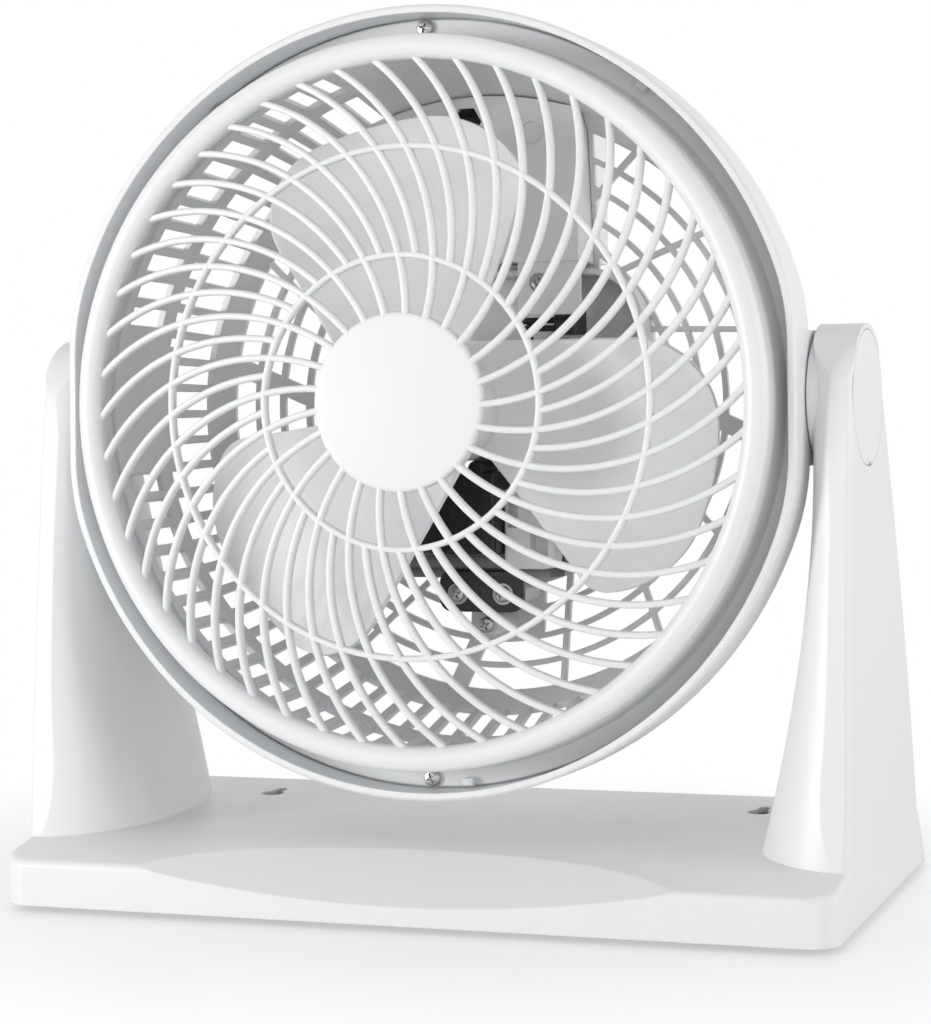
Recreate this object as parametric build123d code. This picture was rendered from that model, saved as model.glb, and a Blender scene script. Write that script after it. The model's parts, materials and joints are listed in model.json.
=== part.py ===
"""Air circulator fan: a round caged head that tilts between the two arms of a moulded stand.

Millimetres. +Z is up, -Y is the side the air leaves by, and the origin is on the floor under the
middle of the stand. The head is drawn in its own frame, where +Z is the way the air goes, +Y is up
and the origin is on the tilt axis. Angles called "clock" run clockwise from the top, as seen from
the front. Each sub-part is written to parts/ as its own STEP file.
"""

import os
from math import cos, hypot, radians, sin

from build123d import *

# ---------------------------------------------------------------- driving dimensions: overall
LIP_R = 145.0
HEAD_HALF_WIDTH = LIP_R - 3.3
ARM_GAP = 0.5
BOSS_PROUD = 0.8
ARM_SLIMMEST = 16.0
STAND_WIDTH = 2 * (HEAD_HALF_WIDTH + ARM_GAP + BOSS_PROUD + ARM_SLIMMEST)
STAND_DEPTH = 170.0
PIVOT_Y = -14.0
PIVOT_Z = LIP_R + 40.0
REST_TILT = 3.0

# ---------------------------------------------------------------- driving dimensions: stand
FOOT_HEIGHT = 2.0
STAND_WALL = 2.6
BASE_TOP = 24.5
BASE_FRONT_CORNER_R = 9.5
BASE_REAR_CORNER_R = 14.0
BASE_EDGE_R = 3.0
BASE_REAR_LEAN = 13.0
CROWN_REACH = 35.0
CROWN_DROP = 5.7
SCOOP_HALF_LENGTH = STAND_WIDTH / 2 - 29.0
SCOOP_TOP_REACH = 28.0
SCOOP_FRONT_DROP = 15.5
RIB_THICK = 1.8
RIB_RISE = 5.0

ARM_TOP_R = 26.5
ARM_FRONT_FLARE = 25.0
ARM_REAR_FLARE = 49.0
ARM_FOOT_FLARE = 31.0
ARM_STRAIGHT = 25.0
ARM_PEAK_SHARE = 0.38
ARM_EDGE_R = 3.5
ARM_MARGIN = 0.6
CAP_R = 24.3
CAP_THICK = 2.2
CAP_GAP = 0.2
BOSS_TUBE_R = 12.0
BOSS_TUBE_LEN = 7.4
BOSS_BACKING = 1.0

FOOT_R = 7.0
FOOT_SEAT = 1.5
FOOT_INSET_X = 24.0
FOOT_INSET_Y = 24.0
KEYHOLE_X = STAND_WIDTH / 2 - 57.0
KEYHOLE_Y = 38.0
KEYHOLE_HEAD_R = 4.6
KEYHOLE_SLOT = 4.8
KEYHOLE_TRAVEL = 9.0

# ---------------------------------------------------------------- driving dimensions: head
LIP_WALL = 3.0
LIP_FRONT = 37.0
CHORD_BLEND_R = 85.0
SHELF_Z = 19.5
SHELF_THICK = 2.5
DRUM_WALL = 2.5
DRUM_FRONT_R = LIP_R - 14.0
DRUM_WAIST_R = DRUM_FRONT_R - 3.0
DRUM_WAIST_Z = -12.5
DRUM_REAR_R = DRUM_FRONT_R - 12.4
DRUM_REAR_Z = -42.8
REAR_FACE_R = DRUM_REAR_R - 6.0
REAR_FACE_Z = -49.5
REAR_SLOPE = 0.155
REAR_INNER_R = 40.0
SLOT_COUNT = 75
SLOT_WIDTH = 7.2
SLOT_END = 2.5
WAIST_BAND = 7.0
REAR_BAR_COUNT = 16
REAR_BAR_WIDTH = 2.2
REAR_ARM_WIDTH = 7.0
REAR_BAR_OFFSET = 30.0
REAR_BAR_CLOCK = 24.1
REAR_RING_SHARES = (0.911, 0.822, 0.726, 0.634)
TOP_PANEL_CLOCK = (-18.0, 21.0)
PAD_HALF_HEIGHT = 24.0
PAD_REAR_Z = -22.0
TRUNNION_R = 8.0
TRUNNION_FIT = 0.08
TRUNNION_LEN = BOSS_TUBE_LEN + 0.8
HEAD_SIDE_BLIND = 12.5

POD_HALF_WIDTH = 62.0
POD_TOP = 52.0
POD_BOTTOM = -66.0
POD_CORNER_R = 22.0
POD_FRONT_Z = -46.0
POD_BACK_Z = -66.0
POD_WALL = 2.5
POD_VENTS = 7
POD_VENT_PITCH = 9.0

# ---------------------------------------------------------------- driving dimensions: front grille
BEAD_OUTER_R = LIP_R - 10.4
BEAD_CREST_R = BEAD_OUTER_R - 5.0
BEAD_CREST_Z = 46.8
BEAD_INNER_R = BEAD_CREST_R - 5.0
GRILLE_HUB_R = 32.4
GRILLE_HUB_THICK = 2.4
GRILLE_RINGS = (0.4254 * BEAD_INNER_R, 0.7416 * BEAD_INNER_R)
GRILLE_RING_WIDTH = 2.2
GRILLE_RIBS = 25
GRILLE_RIB_WIDTH = 2.5
GRILLE_RIB_DEPTH = 4.0
GRILLE_RIB_ARC_R = 0.6597 * BEAD_INNER_R
GRILLE_RIB_ARC_OFFSET = 0.6822 * BEAD_INNER_R
GRILLE_RIB_ARC_CLOCK = -73.9
GRILLE_RIB_CLOCK = 5.5
GRILLE_DOME_Z = (56.4, 55.2, 54.0, 50.3, 43.6)
GRILLE_FLANGE_THICK = 2.4
GRILLE_EDGE_GAP = 0.6
GRILLE_SEAT_GAP = 0.05
GRILLE_SCREW_R = LIP_R - 6.8

# ---------------------------------------------------------------- driving dimensions: impeller
BLADE_TIP_R = DRUM_FRONT_R - 23.0
BLADE_COUNT = 3
BLADE_THICK = 2.0
BLADE_FRONT_Z = 25.0
BLADE_REAR_Z = 4.0
BLADE_DISH = 8.0
BLADE_FRONT_OFFSET = 22.0
BLADE_REAR_CLOCK = 141.5
BLADE_FRONT_CORNER_R = 28.0
BLADE_REAR_CORNER_R = 7.0
HUB_R = 22.5
HUB_REAR_Z = -6.0
HUB_FRONT_Z = 27.0
HUB_WALL = 2.0
HUB_BOSS_R = 8.0
HUB_WEBS = 6
CLIP_THICK = 1.4
CLIP_WIDTH = 2.2

# ---------------------------------------------------------------- driving dimensions: motor
SHAFT_R = 4.0
SHAFT_REAR_Z = -59.0
SHAFT_FRONT_Z = HUB_FRONT_Z - 4.0
BUSH_R = 7.0
BUSH_FIT = 0.03
STACK_REAR_Z = -44.0
STACK_FRONT_Z = -26.0
STACK_HALF_WIDTH = 30.0
STACK_TOP = 24.0
STACK_HEAD_BOTTOM = -22.0
STACK_BOTTOM = -67.0
STACK_LEG = 11.0
TIE_BAR = 9.0
AIR_GAP = 0.4
ROTOR_R = 14.2
COIL_LEFT = -17.8
COIL_RIGHT = 14.0
COIL_TOP = -26.0
COIL_BOTTOM = -57.0
COIL_FRONT_Z = -9.0
COIL_REAR_Z = -60.0
COIL_TOP_CHAMFER = 16.0
COIL_LOW_CHAMFER = 2.6
CORE_BAR_HALF = 6.0
COIL_PEG_X = 6.2
COIL_PEG_R = 3.2
BRACKET_THICK = 4.0
BRACKET_BOSS_R = 11.0
BRACKET_BOSS_LEN = 9.0
MOTOR_BOLT_X = 22.0
MOTOR_BOLT_R = 2.0
TERMINAL_COVER_DEPTH = 8.0
TERMINAL_COVER_RIGHT = 35.0
TERMINAL_COVER_TOP = -33.0
CLAMP_X = 3.0
CLAMP_SCREW_PITCH = 18.4
CLAMP_SCREW_Y = -73.0
CLAMP_WIDTH = 34.0
CLAMP_TOP = -64.0
CLAMP_BOTTOM = -80.0
CLAMP_THICK = 3.0
CLAMP_SCREWS = tuple(CLAMP_X + way * CLAMP_SCREW_PITCH / 2 for way in (-1, 1))
POST_R = 4.4
HOUSING_SCREW_PLACES = ((22.5, 46.5), (2.0, -85.5))
LOW_POST_DROP = 6.0
CLAMP_POST_FOOT = -56.0
LOW_POST_FOOT = -55.0
POST_SINK = 0.3

# ---------------------------------------------------------------- driving dimensions: control box
BOX_HALF_WIDTH = 39.0
BOX_BOTTOM = POD_TOP + 2.5
BOX_TOP_R = DRUM_REAR_R + 0.9
BOX_FRONT_Z = -37.0
BOX_BACK_Z = -74.0
BOX_WALL = 2.0
BOX_SEAT_GAP = 0.3
COLUMN_LEFT = 14.0
COLUMN_BOTTOM = 34.0
COVER_THICK = 2.4
KNOB_Y = BOX_TOP_R - 29.5
KNOB_R = 15.0
KNOB_LENGTH = 13.0
KNOB_GAP = 0.6
SPINDLE_R = 3.0
SPINDLE_FIT = 0.05
SWITCH_SIZE = 24.0
SWITCH_DEPTH = 14.0
COVER_SCREW_LOW_Y = BOX_BOTTOM + 6.5
COVER_SCREW_HIGH_Y = BOX_TOP_R - 14.5
COVER_SCREW_PLACES = (
    (-32.0, COVER_SCREW_LOW_Y),
    (22.0, COVER_SCREW_LOW_Y),
    (-26.0, COVER_SCREW_HIGH_Y),
    (26.0, COVER_SCREW_HIGH_Y),
)
INLET_X = -18.0
INLET_Y = KNOB_Y - 21.0
INLET_R = 5.0
LEAD_R = 2.5
LEAD_X = 33.0
LEAD_Z = -50.0
CONNECTOR_LEFT = 27.0
CONNECTOR_TOP = 38.0
CONNECTOR_BOTTOM = 26.5
WIRE_R = 1.2
WIRE_PITCH = 3.1
WIRE_X = BRACKET_BOSS_R + WIRE_R + 0.7
WIRE_Y = 29.0
WIRE_FRONT_Z = -45.0
WIRE_REAR_Z = -52.6

# ---------------------------------------------------------------- driving dimensions: fasteners
SCREW_HEAD_R = 3.2
SCREW_HEAD_LEN = 2.2
SCREW_R = 1.6
SCREW_LEN = 9.0
SCREW_SLACK = 0.3
PIVOT_SCREW_R = 2.5
PIVOT_SCREW_HEAD_R = 5.0
WASHER_THICK = 1.5

HEAD = Pos(0, PIVOT_Y, PIVOT_Z) * Rot(90 - REST_TILT, 0, 0)
SIDES = (-1, 1)
FAR = 400.0


# ---------------------------------------------------------------- helpers
def clock(radius, angle):
    """The point of a head plane at a radius and a clock angle in degrees."""
    return (radius * sin(radians(angle)), radius * cos(radians(angle)))


def turned(radius, points):
    """A ring about the head's axis from (radius, z) points of its section."""
    section = make_face(Polyline(*points, close=True))
    return revolve(Plane.XZ * section, axis=Axis.Z)


def disc(radius, z0, z1, x=0.0, y=0.0):
    """A round plug from z0 to z1."""
    return Pos(x, y, z0) * extrude(Circle(radius), z1 - z0)


def tube(outer, inner, z0, z1, x=0.0, y=0.0):
    """A round sleeve from z0 to z1."""
    return Pos(x, y, z0) * extrude(Circle(outer) - Circle(inner), z1 - z0)


def block(x0, x1, y0, y1, z0, z1):
    """A box between two corners."""
    middle = Pos((x0 + x1) / 2, (y0 + y1) / 2, (z0 + z1) / 2)
    return middle * Box(abs(x1 - x0), abs(y1 - y0), abs(z1 - z0))


def cross_disc(radius, x0, x1, y=0.0, z=0.0):
    """A round plug along X from x0 to x1."""
    low, high = min(x0, x1), max(x0, x1)
    return Pos(low, y, z) * Rot(0, 90, 0) * extrude(Circle(radius), high - low)


def screw(head_r, shank_r, length, head_len=SCREW_HEAD_LEN):
    """A pan-head screw with its seat at z = 0, its head above and a cross recess."""
    head = extrude(Circle(head_r), head_len)
    head = chamfer(head.edges().sort_by(Axis.Z)[-1], 0.35 * head_len)
    slots = block(-0.6 * head_r, 0.6 * head_r, -0.35, 0.35, 0.5 * head_len, head_len)
    cross = slots + Rot(0, 0, 90) * slots
    return head - cross + Pos(0, 0, -length) * extrude(Circle(shank_r), length)


def write(node, shape):
    """One STEP file for each sub-part, named as the sub-part."""
    solids = shape.solids()
    body = solids[0] if len(solids) == 1 else Compound(label=node, children=list(solids))
    export_step(body, f"parts/{node}.step")


# ---------------------------------------------------------------- stand
def arm_edge(z, way):
    """How far the arm's front (way -1) or rear (way 1) edge stands from the pivot at a height."""
    drop = max(0.0, (PIVOT_Z - z) / PIVOT_Z)
    if way < 0:
        return ARM_TOP_R + ARM_FRONT_FLARE * drop**0.88
    return ARM_TOP_R + ARM_REAR_FLARE * (1 - (1 - min(drop, 1.0)) ** 1.45)


def arm_reach(z):
    """The arm's thickness at a height, inward from its flat outer side."""
    flare_top = PIVOT_Z - ARM_STRAIGHT
    drop = max(0.0, (flare_top - z) / flare_top)
    return ARM_SLIMMEST + ARM_FOOT_FLARE * drop**1.75


def arm_section(z, inset):
    """A level section: flat outside, rounded edges, and an inner side that swells at its peak."""
    outer_x = STAND_WIDTH / 2 - inset
    front = PIVOT_Y - arm_edge(z, -1) - ARM_MARGIN + inset
    rear = PIVOT_Y + arm_edge(z, 1) + ARM_MARGIN - inset
    edge_r = max(ARM_EDGE_R - inset, 0.9)
    swell = arm_reach(z) - 2 * inset - edge_r
    squareness = 2 + 3 * min(1.0, z / (PIVOT_Z - ARM_STRAIGHT))
    peak = front + ARM_PEAK_SHARE * (rear - front)

    def inner(share, end):
        rise = (1 - share**squareness) ** 0.5
        return (outer_x - edge_r - swell * rise, peak + share * (end - peak))

    shares = (0.985, 0.93, 0.8, 0.55, 0.28)
    near = [inner(share, front) for share in shares]
    far = [inner(share, rear) for share in reversed(shares)]
    starts = [(outer_x - edge_r, front), (outer_x - edge_r, rear)]
    curve = Spline(starts[0], *near, inner(0, front), *far, starts[1], tangents=[(-1, 0), (1, 0)])
    k = 0.293 * edge_r
    low = ThreePointArc((outer_x, front + edge_r), (outer_x - k, front + k), starts[0])
    high = ThreePointArc(starts[1], (outer_x - k, rear - k), (outer_x, rear - edge_r))
    side = Line((outer_x, rear - edge_r), (outer_x, front + edge_r))
    edges = [part.edge() for part in (side, low, curve, high)]
    return Pos(0, 0, z) * make_face(Wire(edges))


def arm_outline(inset):
    """The arm seen from its side: a round top on the pivot, widening down to the floor."""
    top_r = ARM_TOP_R - inset
    heights = [share * PIVOT_Z for share in (0.81, 0.6, 0.4, 0.2, -0.02)]

    def edge(way, lean):
        start = (PIVOT_Y + way * top_r * cos(radians(lean)), PIVOT_Z + top_r * sin(radians(lean)))
        points = [(PIVOT_Y + way * (arm_edge(z, way) - inset), z) for z in heights]
        begin = (way * sin(radians(lean)), -cos(radians(lean)))
        return Spline(start, *points, tangents=[begin, (0, -1)])

    front, rear = edge(-1, 9.0), edge(1, 18.0)
    sides = [front, Line(front @ 1, rear @ 1), rear, Line(rear @ 0, front @ 0)]
    skirt = make_face([part.edge() for part in sides])
    return Plane.YZ * (skirt + Pos(PIVOT_Y, PIVOT_Z) * Circle(top_r))


def arm(inset):
    """The right arm's outer form, or its hollow when inset by the wall."""
    top = PIVOT_Z + ARM_TOP_R + 1
    low = FOOT_HEIGHT - 1.0 if inset else FOOT_HEIGHT
    heights = [low, 24.0, 44.0, 66.0, 90.0, 114.0, 138.0, PIVOT_Z - ARM_STRAIGHT, PIVOT_Z, top]
    body = loft([arm_section(z, inset) for z in heights])
    return body & extrude(arm_outline(inset), FAR)


def base_form(inset):
    """The base's outer form, or its hollow when inset by the wall."""
    half = STAND_WIDTH / 2 - inset
    front, rear = -STAND_DEPTH / 2 + inset, STAND_DEPTH / 2 - inset
    low = FOOT_HEIGHT - 1.0 if inset else FOOT_HEIGHT
    top = BASE_TOP - inset
    crown_start = -STAND_DEPTH / 2 + CROWN_REACH
    brow = (front, top - CROWN_DROP)
    crown = TangentArc((crown_start, top), brow, tangent=(-1, 0))
    rest = Polyline(brow, (front, low), (rear, low), (rear - BASE_REAR_LEAN, top), (crown_start, top))
    side = Plane.YZ * make_face([crown.edge(), *rest.edges()])
    form = Pos(-half, 0, 0) * extrude(side, 2 * half)
    upright = [e for e in form.edges() if e.bounding_box().size.Z > 10]
    form = fillet([e for e in upright if e.center().Y < 0], BASE_FRONT_CORNER_R - inset)
    upright = [e for e in form.edges() if e.bounding_box().size.Z > 10]
    form = fillet([e for e in upright if e.center().Y > rear - BASE_REAR_LEAN], BASE_REAR_CORNER_R - inset)
    if inset == 0:
        high = [e for e in form.edges() if e.bounding_box().min.Z > brow[1] - 0.5]
        seam = [e for e in high if abs(e.center().Y - crown_start) < 0.1 and abs(e.center().X) < 1]
        form = fillet([e for e in high if e not in seam], BASE_EDGE_R)
    return form - scoop(inset)


def scoop(inset):
    """The wide cylinder that hollows the base's front top edge into a lens."""
    length = hypot(SCOOP_TOP_REACH, SCOOP_FRONT_DROP)
    down, out = SCOOP_FRONT_DROP / length, SCOOP_TOP_REACH / length
    rise = SCOOP_TOP_REACH * down
    radius = (SCOOP_HALF_LENGTH**2 + rise**2) / (2 * rise)
    start_y = -STAND_DEPTH / 2 + SCOOP_TOP_REACH
    centre = Vector(0, start_y - radius * down, BASE_TOP + radius * out)
    along = Plane(origin=centre, x_dir=(1, 0, 0), z_dir=(0, -out, -down))
    return along * Pos(0, 0, -FAR) * extrude(Circle(radius + inset), 2 * FAR)


def keyhole():
    """The outline of one wall-hanging slot, round at the front and narrow behind."""
    slot = Pos(0, KEYHOLE_TRAVEL / 2) * Rectangle(KEYHOLE_SLOT, KEYHOLE_TRAVEL)
    end = Pos(0, KEYHOLE_TRAVEL) * Circle(KEYHOLE_SLOT / 2)
    return Circle(KEYHOLE_HEAD_R) + slot + end


def base_ribs():
    """Stiffening ribs under the base's top wall."""
    low, high = FOOT_HEIGHT + RIB_RISE, BASE_TOP - STAND_WALL
    half_w, half_d = STAND_WIDTH / 2 - arm_reach(0) - RIB_RISE, STAND_DEPTH / 2 - 1
    along = [block(-half_w, half_w, y, y + RIB_THICK, low, high) for y in (2.0, 58.0)]
    half = RIB_THICK / 2
    across = [block(x - half, x + half, -30.0, half_d, low, high) for x in (-70.0, 0.0, 70.0)]
    return along + across


def pivot_seat(side, hollow):
    """Round seats at the pivot: the inner boss with its tube, and the ring behind the cap."""
    half = STAND_WIDTH / 2
    inner_face = HEAD_HALF_WIDTH + ARM_GAP
    disc_end = half - ARM_SLIMMEST + STAND_WALL + BOSS_BACKING
    tube_end = inner_face + BOSS_TUBE_LEN
    solid = cross_disc(CAP_R, side * inner_face, side * disc_end, PIVOT_Y, PIVOT_Z)
    solid += cross_disc(BOSS_TUBE_R, side * inner_face, side * tube_end, PIVOT_Y, PIVOT_Z)
    seat = cross_disc(CAP_R + 3, side * (half - 5.0), side * (half - 0.5), PIVOT_Y, PIVOT_Z)
    return solid, seat & hollow


def pivot_cuts(side):
    """The bore of the tube, and the cap's recess with its opening."""
    half = STAND_WIDTH / 2
    place = (PIVOT_Y, PIVOT_Z)
    bore_r = TRUNNION_R + TRUNNION_FIT
    bore = cross_disc(bore_r, side * (HEAD_HALF_WIDTH - 10), side * (HEAD_HALF_WIDTH + 10), *place)
    recess = cross_disc(CAP_R + CAP_GAP, side * (half - CAP_THICK), side * (half + 1), *place)
    opening = cross_disc(CAP_R - 4, side * (half - 8), side * (half + 1), *place)
    return bore, recess, opening


def foot_places():
    """The middles of the four feet."""
    half_w, half_d = STAND_WIDTH / 2 - FOOT_INSET_X, STAND_DEPTH / 2 - FOOT_INSET_Y
    return [(sx * half_w, sy * half_d) for sx in SIDES for sy in SIDES]


def make_stand():
    """One hollow moulding: the base and both arms, open underneath."""
    mirror_x = Plane.YZ
    outer_arm, hollow_arm = arm(0), arm(STAND_WALL)
    outer = base_form(0) + outer_arm + mirror(outer_arm, mirror_x)
    hollow = base_form(STAND_WALL) + hollow_arm + mirror(hollow_arm, mirror_x)
    stand = outer - hollow
    inside = base_form(STAND_WALL)
    for rib in base_ribs():
        stand += rib & inside
    for side, arm_hollow in ((1, hollow_arm), (-1, mirror(hollow_arm, mirror_x))):
        boss, seat = pivot_seat(side, arm_hollow)
        stand += boss
        stand += seat
    for x, y in foot_places():
        boss_top = BASE_TOP - STAND_WALL + 0.3
        stand += disc(FOOT_R + 1.5, FOOT_HEIGHT, boss_top, x, y)
        stand -= disc(FOOT_R, 0, FOOT_HEIGHT + FOOT_SEAT, x, y)
    for side in SIDES:
        for cut in pivot_cuts(side):
            stand -= cut
        stand -= Pos(side * KEYHOLE_X, KEYHOLE_Y, BASE_TOP - 6) * extrude(keyhole(), 12)
    return stand


def make_feet():
    """Four pads pressed into round seats under the base."""
    pads = []
    for x, y in foot_places():
        pad = disc(FOOT_R, 0, FOOT_HEIGHT + FOOT_SEAT, x, y)
        pads.append(chamfer(pad.edges().sort_by(Axis.Z)[0], 0.8))
    return Compound(children=pads)


def make_cap(side):
    """The round cover over a pivot screw, with a prising notch and a snap ring."""
    half = STAND_WIDTH / 2
    back = half - CAP_THICK
    face = cross_disc(CAP_R, side * back, side * half, PIVOT_Y, PIVOT_Z)
    ring = cross_disc(CAP_R - 4.2, side * (back - 4.3), side * back, PIVOT_Y, PIVOT_Z)
    ring -= cross_disc(CAP_R - 6, side * (back - 5), side * back, PIVOT_Y, PIVOT_Z)
    notch = Pos(side * half, PIVOT_Y, PIVOT_Z - CAP_R) * Box(1.6, 5.0, 2.4)
    return face + ring - notch


def make_wave_washers():
    """Spring rings between each arm's tube and the washer under the pivot screw."""
    start = HEAD_HALF_WIDTH + ARM_GAP + BOSS_TUBE_LEN + 0.1
    rings = []
    for side in SIDES:
        ring = cross_disc(BOSS_TUBE_R - 0.5, side * start, side * (start + 0.6), PIVOT_Y, PIVOT_Z)
        bore = cross_disc(TRUNNION_R + 0.3, side * (start - 1), side * (start + 2), PIVOT_Y, PIVOT_Z)
        rings.append(ring - bore)
    return Compound(children=rings)


# ---------------------------------------------------------------- head: rear housing
def clipped(radius, half_width, z0, z1):
    """A disc whose two sides are cut flat, with the corners of the cuts blended."""
    plan = Circle(radius) & Rectangle(2 * half_width, 4 * radius)
    plan = fillet(plan.vertices(), CHORD_BLEND_R)
    return Pos(0, 0, z0) * extrude(plan, z1 - z0)


def rear_face_z(radius):
    """The height of the sloping rear face's inner skin at a radius."""
    return REAR_FACE_Z - REAR_SLOPE * (REAR_FACE_R - radius)


def drum_shell():
    """The lip, the shelf, the tapered drum wall and the sloping rear face, before any opening."""
    t = DRUM_WALL
    section = (
        (DRUM_FRONT_R, SHELF_Z),
        (DRUM_FRONT_R + t, SHELF_Z),
        (DRUM_FRONT_R + t, SHELF_Z - SHELF_THICK),
        (DRUM_WAIST_R + t, DRUM_WAIST_Z),
        (DRUM_REAR_R + t, DRUM_REAR_Z - 0.6),
        (REAR_FACE_R + 1.2, REAR_FACE_Z - t),
        (REAR_INNER_R, rear_face_z(REAR_INNER_R) - t),
        (REAR_INNER_R, rear_face_z(REAR_INNER_R)),
        (REAR_FACE_R, REAR_FACE_Z),
        (DRUM_REAR_R, DRUM_REAR_Z),
        (DRUM_WAIST_R, DRUM_WAIST_Z),
    )
    low = SHELF_Z - SHELF_THICK
    lip = clipped(LIP_R, HEAD_HALF_WIDTH, low, LIP_FRONT)
    lip = chamfer(lip.edges().group_by(Axis.Z)[-1], 0.9)
    lip -= clipped(LIP_R - LIP_WALL, HEAD_HALF_WIDTH - LIP_WALL, SHELF_Z, LIP_FRONT + 1)
    lip -= disc(DRUM_FRONT_R + t / 2, low - 1, SHELF_Z + 1)
    return turned(0, section) + lip


def is_blind(angle, row):
    """Whether the drum wall is left whole at a clock angle."""
    turn = (angle + 180) % 360 - 180
    if TOP_PANEL_CLOCK[0] - 2 < turn < TOP_PANEL_CLOCK[1] + 2:
        return True
    return row == 0 and min(abs(turn - 90), abs(turn + 90)) < HEAD_SIDE_BLIND


def drum_slots():
    """The long windows of the drum wall, in a row before and a row behind its waist band."""
    rows = (
        (DRUM_WAIST_Z + WAIST_BAND / 2, SHELF_Z - SHELF_THICK - SLOT_END),
        (DRUM_REAR_Z + SLOT_END / 5, DRUM_WAIST_Z - WAIST_BAND / 2),
    )
    slots = []
    for row, (z0, z1) in enumerate(rows):
        for k in range(SLOT_COUNT):
            angle = (k + 0.5) * 360 / SLOT_COUNT
            if not is_blind(angle, row):
                slot = block(-SLOT_WIDTH / 2, SLOT_WIDTH / 2, DRUM_REAR_R - 10, LIP_R - 5, z0, z1)
                slots.append(Rot(0, 0, -angle) * slot)
    return slots


def pod_plan(inset):
    """The motor cup seen from the front."""
    width = 2 * (POD_HALF_WIDTH - inset)
    height = POD_TOP - POD_BOTTOM - 2 * inset
    middle = (POD_TOP + POD_BOTTOM) / 2
    return Pos(0, middle) * RectangleRounded(width, height, POD_CORNER_R - inset)


def rear_windows():
    """The openings of the rear face between its rings, slanted bars and four wide arms."""
    field = Circle(REAR_FACE_R - 0.4) - pod_plan(0)
    field -= Pos(0, LIP_R) * Rectangle(2 * BOX_HALF_WIDTH + 4, 2 * (LIP_R - POD_TOP))
    for share in REAR_RING_SHARES:
        radius = share * REAR_FACE_R
        field -= Circle(radius + REAR_BAR_WIDTH / 2) - Circle(radius - REAR_BAR_WIDTH / 2)
    for k in range(REAR_BAR_COUNT):
        width = REAR_ARM_WIDTH if k % 4 == 0 else REAR_BAR_WIDTH
        turn = REAR_BAR_CLOCK + k * 360 / REAR_BAR_COUNT
        bar = Pos(-REAR_BAR_OFFSET, 0.72 * REAR_FACE_R) * Rectangle(width, REAR_FACE_R)
        field -= Rot(0, 0, -turn) * bar
    field -= Pos(CLAMP_X, CLAMP_SCREW_Y - 6) * RectangleRounded(CLAMP_SCREW_PITCH + 12, 26, 4)
    return Pos(0, 0, -90) * extrude(field, 60)


def pivot_pad(side):
    """The flat block outside the drum wall, and the hollow trunnion that turns in the arm."""
    half = HEAD_HALF_WIDTH
    near = DRUM_REAR_R - 0.6
    pad = block(side * near, side * half, -PAD_HALF_HEIGHT, PAD_HALF_HEIGHT, PAD_REAR_Z, SHELF_Z - 1)
    pad = fillet(pad.edges().filter_by(Axis.X), 3)
    end = half + ARM_GAP + TRUNNION_LEN
    pad += cross_disc(TRUNNION_R, side * (half - 2), side * end)
    return pad


def drum_inside():
    """The space inside the drum wall, where nothing but the impeller and motor may be."""
    section = (
        (0, LIP_FRONT),
        (DRUM_FRONT_R, LIP_FRONT),
        (DRUM_FRONT_R, SHELF_Z),
        (DRUM_WAIST_R, DRUM_WAIST_Z),
        (DRUM_REAR_R, DRUM_REAR_Z),
        (0, DRUM_REAR_Z),
    )
    return turned(0, section)


def pod():
    """The motor's cup behind the impeller: its floor with vents, its wall and its posts."""
    cup = Pos(0, 0, POD_BACK_Z) * extrude(pod_plan(0), POD_FRONT_Z - POD_BACK_Z)
    cup = fillet(cup.edges().group_by(Axis.Z)[0], 4)
    inner = Pos(0, 0, POD_BACK_Z + POD_WALL) * extrude(pod_plan(POD_WALL), FAR)
    cup -= inner
    for k in range(POD_VENTS):
        y = (k - (POD_VENTS - 1) / 2) * POD_VENT_PITCH - 6
        cup -= Pos(0, y, POD_BACK_Z - 1) * extrude(SlotOverall(44, 4), POD_WALL + 2)
    return cup


def posts():
    """The screw posts that rise from the rear face: place, foot, top and bore of each."""
    floor = POD_BACK_Z + 1
    motor_seat = STACK_REAR_Z - BRACKET_THICK
    rows = [(side * MOTOR_BOLT_X, 0, floor, motor_seat, MOTOR_BOLT_R) for side in SIDES]
    for x in CLAMP_SCREWS:
        foot = min(CLAMP_POST_FOOT, rear_face_z(hypot(x, CLAMP_SCREW_Y)) - POST_SINK)
        rows.append((x, CLAMP_SCREW_Y, foot, STACK_FRONT_Z, SCREW_R))
    (x0, y0), (x1, y1) = HOUSING_SCREW_PLACES
    rows.append((x0, y0, floor, BOX_FRONT_Z - 2 * BOX_WALL, SCREW_R))
    foot = min(LOW_POST_FOOT, rear_face_z(hypot(x1, y1)) - POST_SINK)
    rows.append((x1, y1, foot, STACK_FRONT_Z - LOW_POST_DROP, SCREW_R))
    return rows


def make_rear_housing():
    """One moulding: lip, slotted drum, rear guard, motor cup, pivot pads and trunnions."""
    housing = drum_shell()
    housing -= drum_slots()
    housing -= rear_windows()
    housing -= Pos(0, 0, -90) * extrude(pod_plan(POD_WALL / 2), 60)
    for side in SIDES:
        housing += pivot_pad(side) - drum_inside()
    housing -= Pos(0, 0, -90) * extrude(box_plan(-BOX_SEAT_GAP), 90 + BOX_FRONT_Z + BOX_SEAT_GAP)
    housing += pod()
    for x, y, z0, z1, _ in posts():
        housing += disc(POST_R, z0, z1, x, y)
    for x, y, z0, z1, bore_r in posts():
        housing -= disc(bore_r, z1 - 12, z1 + 1, x, y)
    housing -= lead_hole(LEAD_R + SCREW_SLACK)
    for side in SIDES:
        bore = cross_disc(PIVOT_SCREW_R, side * (HEAD_HALF_WIDTH - 9), side * (HEAD_HALF_WIDTH + 12))
        housing -= bore
        housing -= disc(SCREW_R, SHELF_Z - 8, SHELF_Z + 1, 0, side * GRILLE_SCREW_R)
    return housing


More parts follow.
